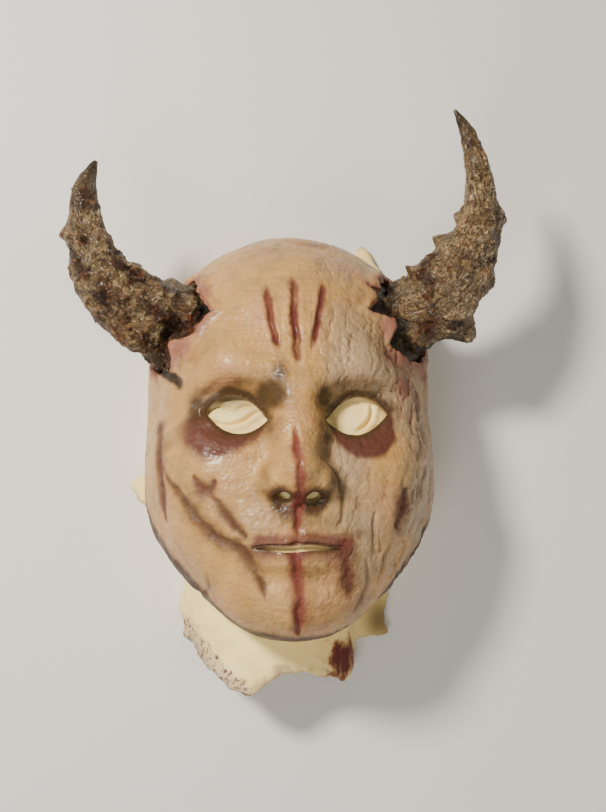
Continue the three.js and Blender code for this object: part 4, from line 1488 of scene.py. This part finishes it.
def form_paint():
    """Cream plaster with painted shadow under the lids and on the right tab, greyer and speckled where it
    is broken, with one dark red stain.
    """
    paint = Paint("plaster")
    middle = paint.noise(120, 5, 0.6)
    edge = paint.add(paint.mark("edge"), paint.fit(middle, 0.3, 0.7, -0.3, 0.3))
    speckled = paint.mark("speckled")
    specks = paint.times(paint.fit(paint.noise(340, 4, 0.7), 0.5, 0.6), paint.fit(speckled, 0.1, 0.5))
    stained = paint.add(paint.mark("stained"), paint.fit(middle, 0.3, 0.7, -0.25, 0.25))
    creams = paint.fit(paint.noise(22, 4, 0.6), 0.35, 0.65)
    cream = paint.coats(
        paint.mix(creams, colour(255, 234, 162), colour(250, 219, 143)),
        (paint.fit(middle, 0.5, 0.8, 0, 0.4), (255, 240, 186)),
        (paint.fit(edge, 0.6, 1.2, 0, 0.7), (166, 142, 112)),
        # painted shadow of the jaw on the right tab
        (paint.times(paint.mark("tab_shade"), 0.92), (92, 72, 42)),
        # painted shadow under the lids
        (paint.times(paint.mark("lid_shade"), 0.95), (122, 106, 72)),
        (paint.fit(speckled, 0.2, 0.9, 0, 0.6), (170, 150, 134)),
        (specks, (108, 80, 68)),
        (paint.fit(stained, 0.2, 0.6, 0, 0.9), (132, 66, 32)),
        (paint.fit(stained, 0.5, 0.85, 0, 0.95), (88, 10, 3)),
    )
    grain = paint.relief(paint.noise(700, 4, 0.65), 0.0002, 0.5)
    return paint.set(
        Base_Color=cream, Roughness=paint.fit(middle, 0.3, 0.7, 0.62, 0.85),
        Normal=paint.relief(middle, 0.0008, 0.6, grain),
    )


# The pieces

def build():
    under_skin = even_dome("under", FORM_RIM, 81, under_skin_reach)
    form_grown = even_dome("grown", FORM_RIM, 61, lambda way, **found: form_reach(way, **found) + REST_GAP)
    skin = make_skin()
    finish_piece(skin, "latex_face", skin_paint(), "mask_skin", skin_marks(vertices(skin)))
    horn_material = horn_paint()
    for horn, node in ((HORN_LEFT, "horn_left"), (HORN_RIGHT, "horn_right")):
        made = make_horn(horn, under_skin, form_grown)
        marks = horn_marks(vertices(made), horn)
        finish_piece(made, node + "_cast", horn_material, node, marks, 75)
    form = roughen_form(make_form())
    marks = form_marks(vertices(form))
    finish_piece(form, "plaster_cast", form_paint(), "plaster_form", marks, 60)
    for spare in (under_skin, form_grown):
        bpy.data.objects.remove(spare)


# The studio and the camera

AIM = (0, 0, 0.06)
FLOOR_SIZE = 12
# Name, place, size, power and colour of a warm key light from the upper left of the view, a soft fill
# from the right, and a low light from the chin's side.
LIGHTS = [
    ("key", (-0.6, 0.36, 0.9), 0.2, 20.5, (1.0, 0.93, 0.82)),
    ("fill", (0.9, -0.45, 0.9), 0.8, 4.2, (1.0, 0.96, 0.9)),
    ("low", (-0.35, -0.8, 1.0), 0.5, 5.5, (1.0, 0.96, 0.9)),
]
ROOM = {"Color": (0.93, 0.92, 0.9, 1), "Strength": 0.17}
CAMERA = {"target": (10.97, -3.25, 60), "away": 600, "turn": -4, "tilt": 10, "lens": 45.09}


def area_light(name, place, size, power, tone):
    data = bpy.data.lights.new(name, "AREA")
    data.shape = "DISK"
    data.size = size
    data.energy = power
    data.color = tone
    made = bpy.data.objects.new(name, data)
    bpy.context.scene.collection.objects.link(made)
    made.location = place
    made.rotation_euler = (Vector(AIM) - Vector(place)).to_track_quat("-Z", "Y").to_euler()


def studio():
    """A pale floor, the lights and a dim pale room."""
    bpy.ops.mesh.primitive_plane_add(size=FLOOR_SIZE)
    floor = bpy.context.object
    floor.name = "floor"
    floor.data.materials.append(Paint("floor").set(Base_Color=colour(226, 224, 220), Roughness=0.8))
    for light in LIGHTS:
        area_light(*light)
    world = bpy.data.worlds.new("room")
    world.use_nodes = True
    for key, value in ROOM.items():
        world.node_tree.nodes["Background"].inputs[key].default_value = value
    bpy.context.scene.world = world


def camera():
    """The view of the photograph: looking down on the face, a little from the chin."""
    turn, tilt = math.radians(CAMERA["turn"]), math.radians(CAMERA["tilt"])
    back = Vector((math.tan(turn), -math.tan(tilt), 1)).normalized()
    right = Vector((0, 1, 0)).cross(back).normalized()
    matrix = Matrix((right, back.cross(right), back)).transposed().to_4x4()
    matrix.translation = (Vector(CAMERA["target"]) + back * CAMERA["away"]) * MM
    data = bpy.data.cameras.new("camera")
    data.lens = CAMERA["lens"]
    data.sensor_width = 36
    data.clip_start = 0.01
    made = bpy.data.objects.new("camera", data)
    bpy.context.scene.collection.objects.link(made)
    made.matrix_world = matrix
    bpy.context.scene.camera = made


def plain(bounds):
    return [[float(v) for v in corner] for corner in bounds]


camera()
studio()
build()
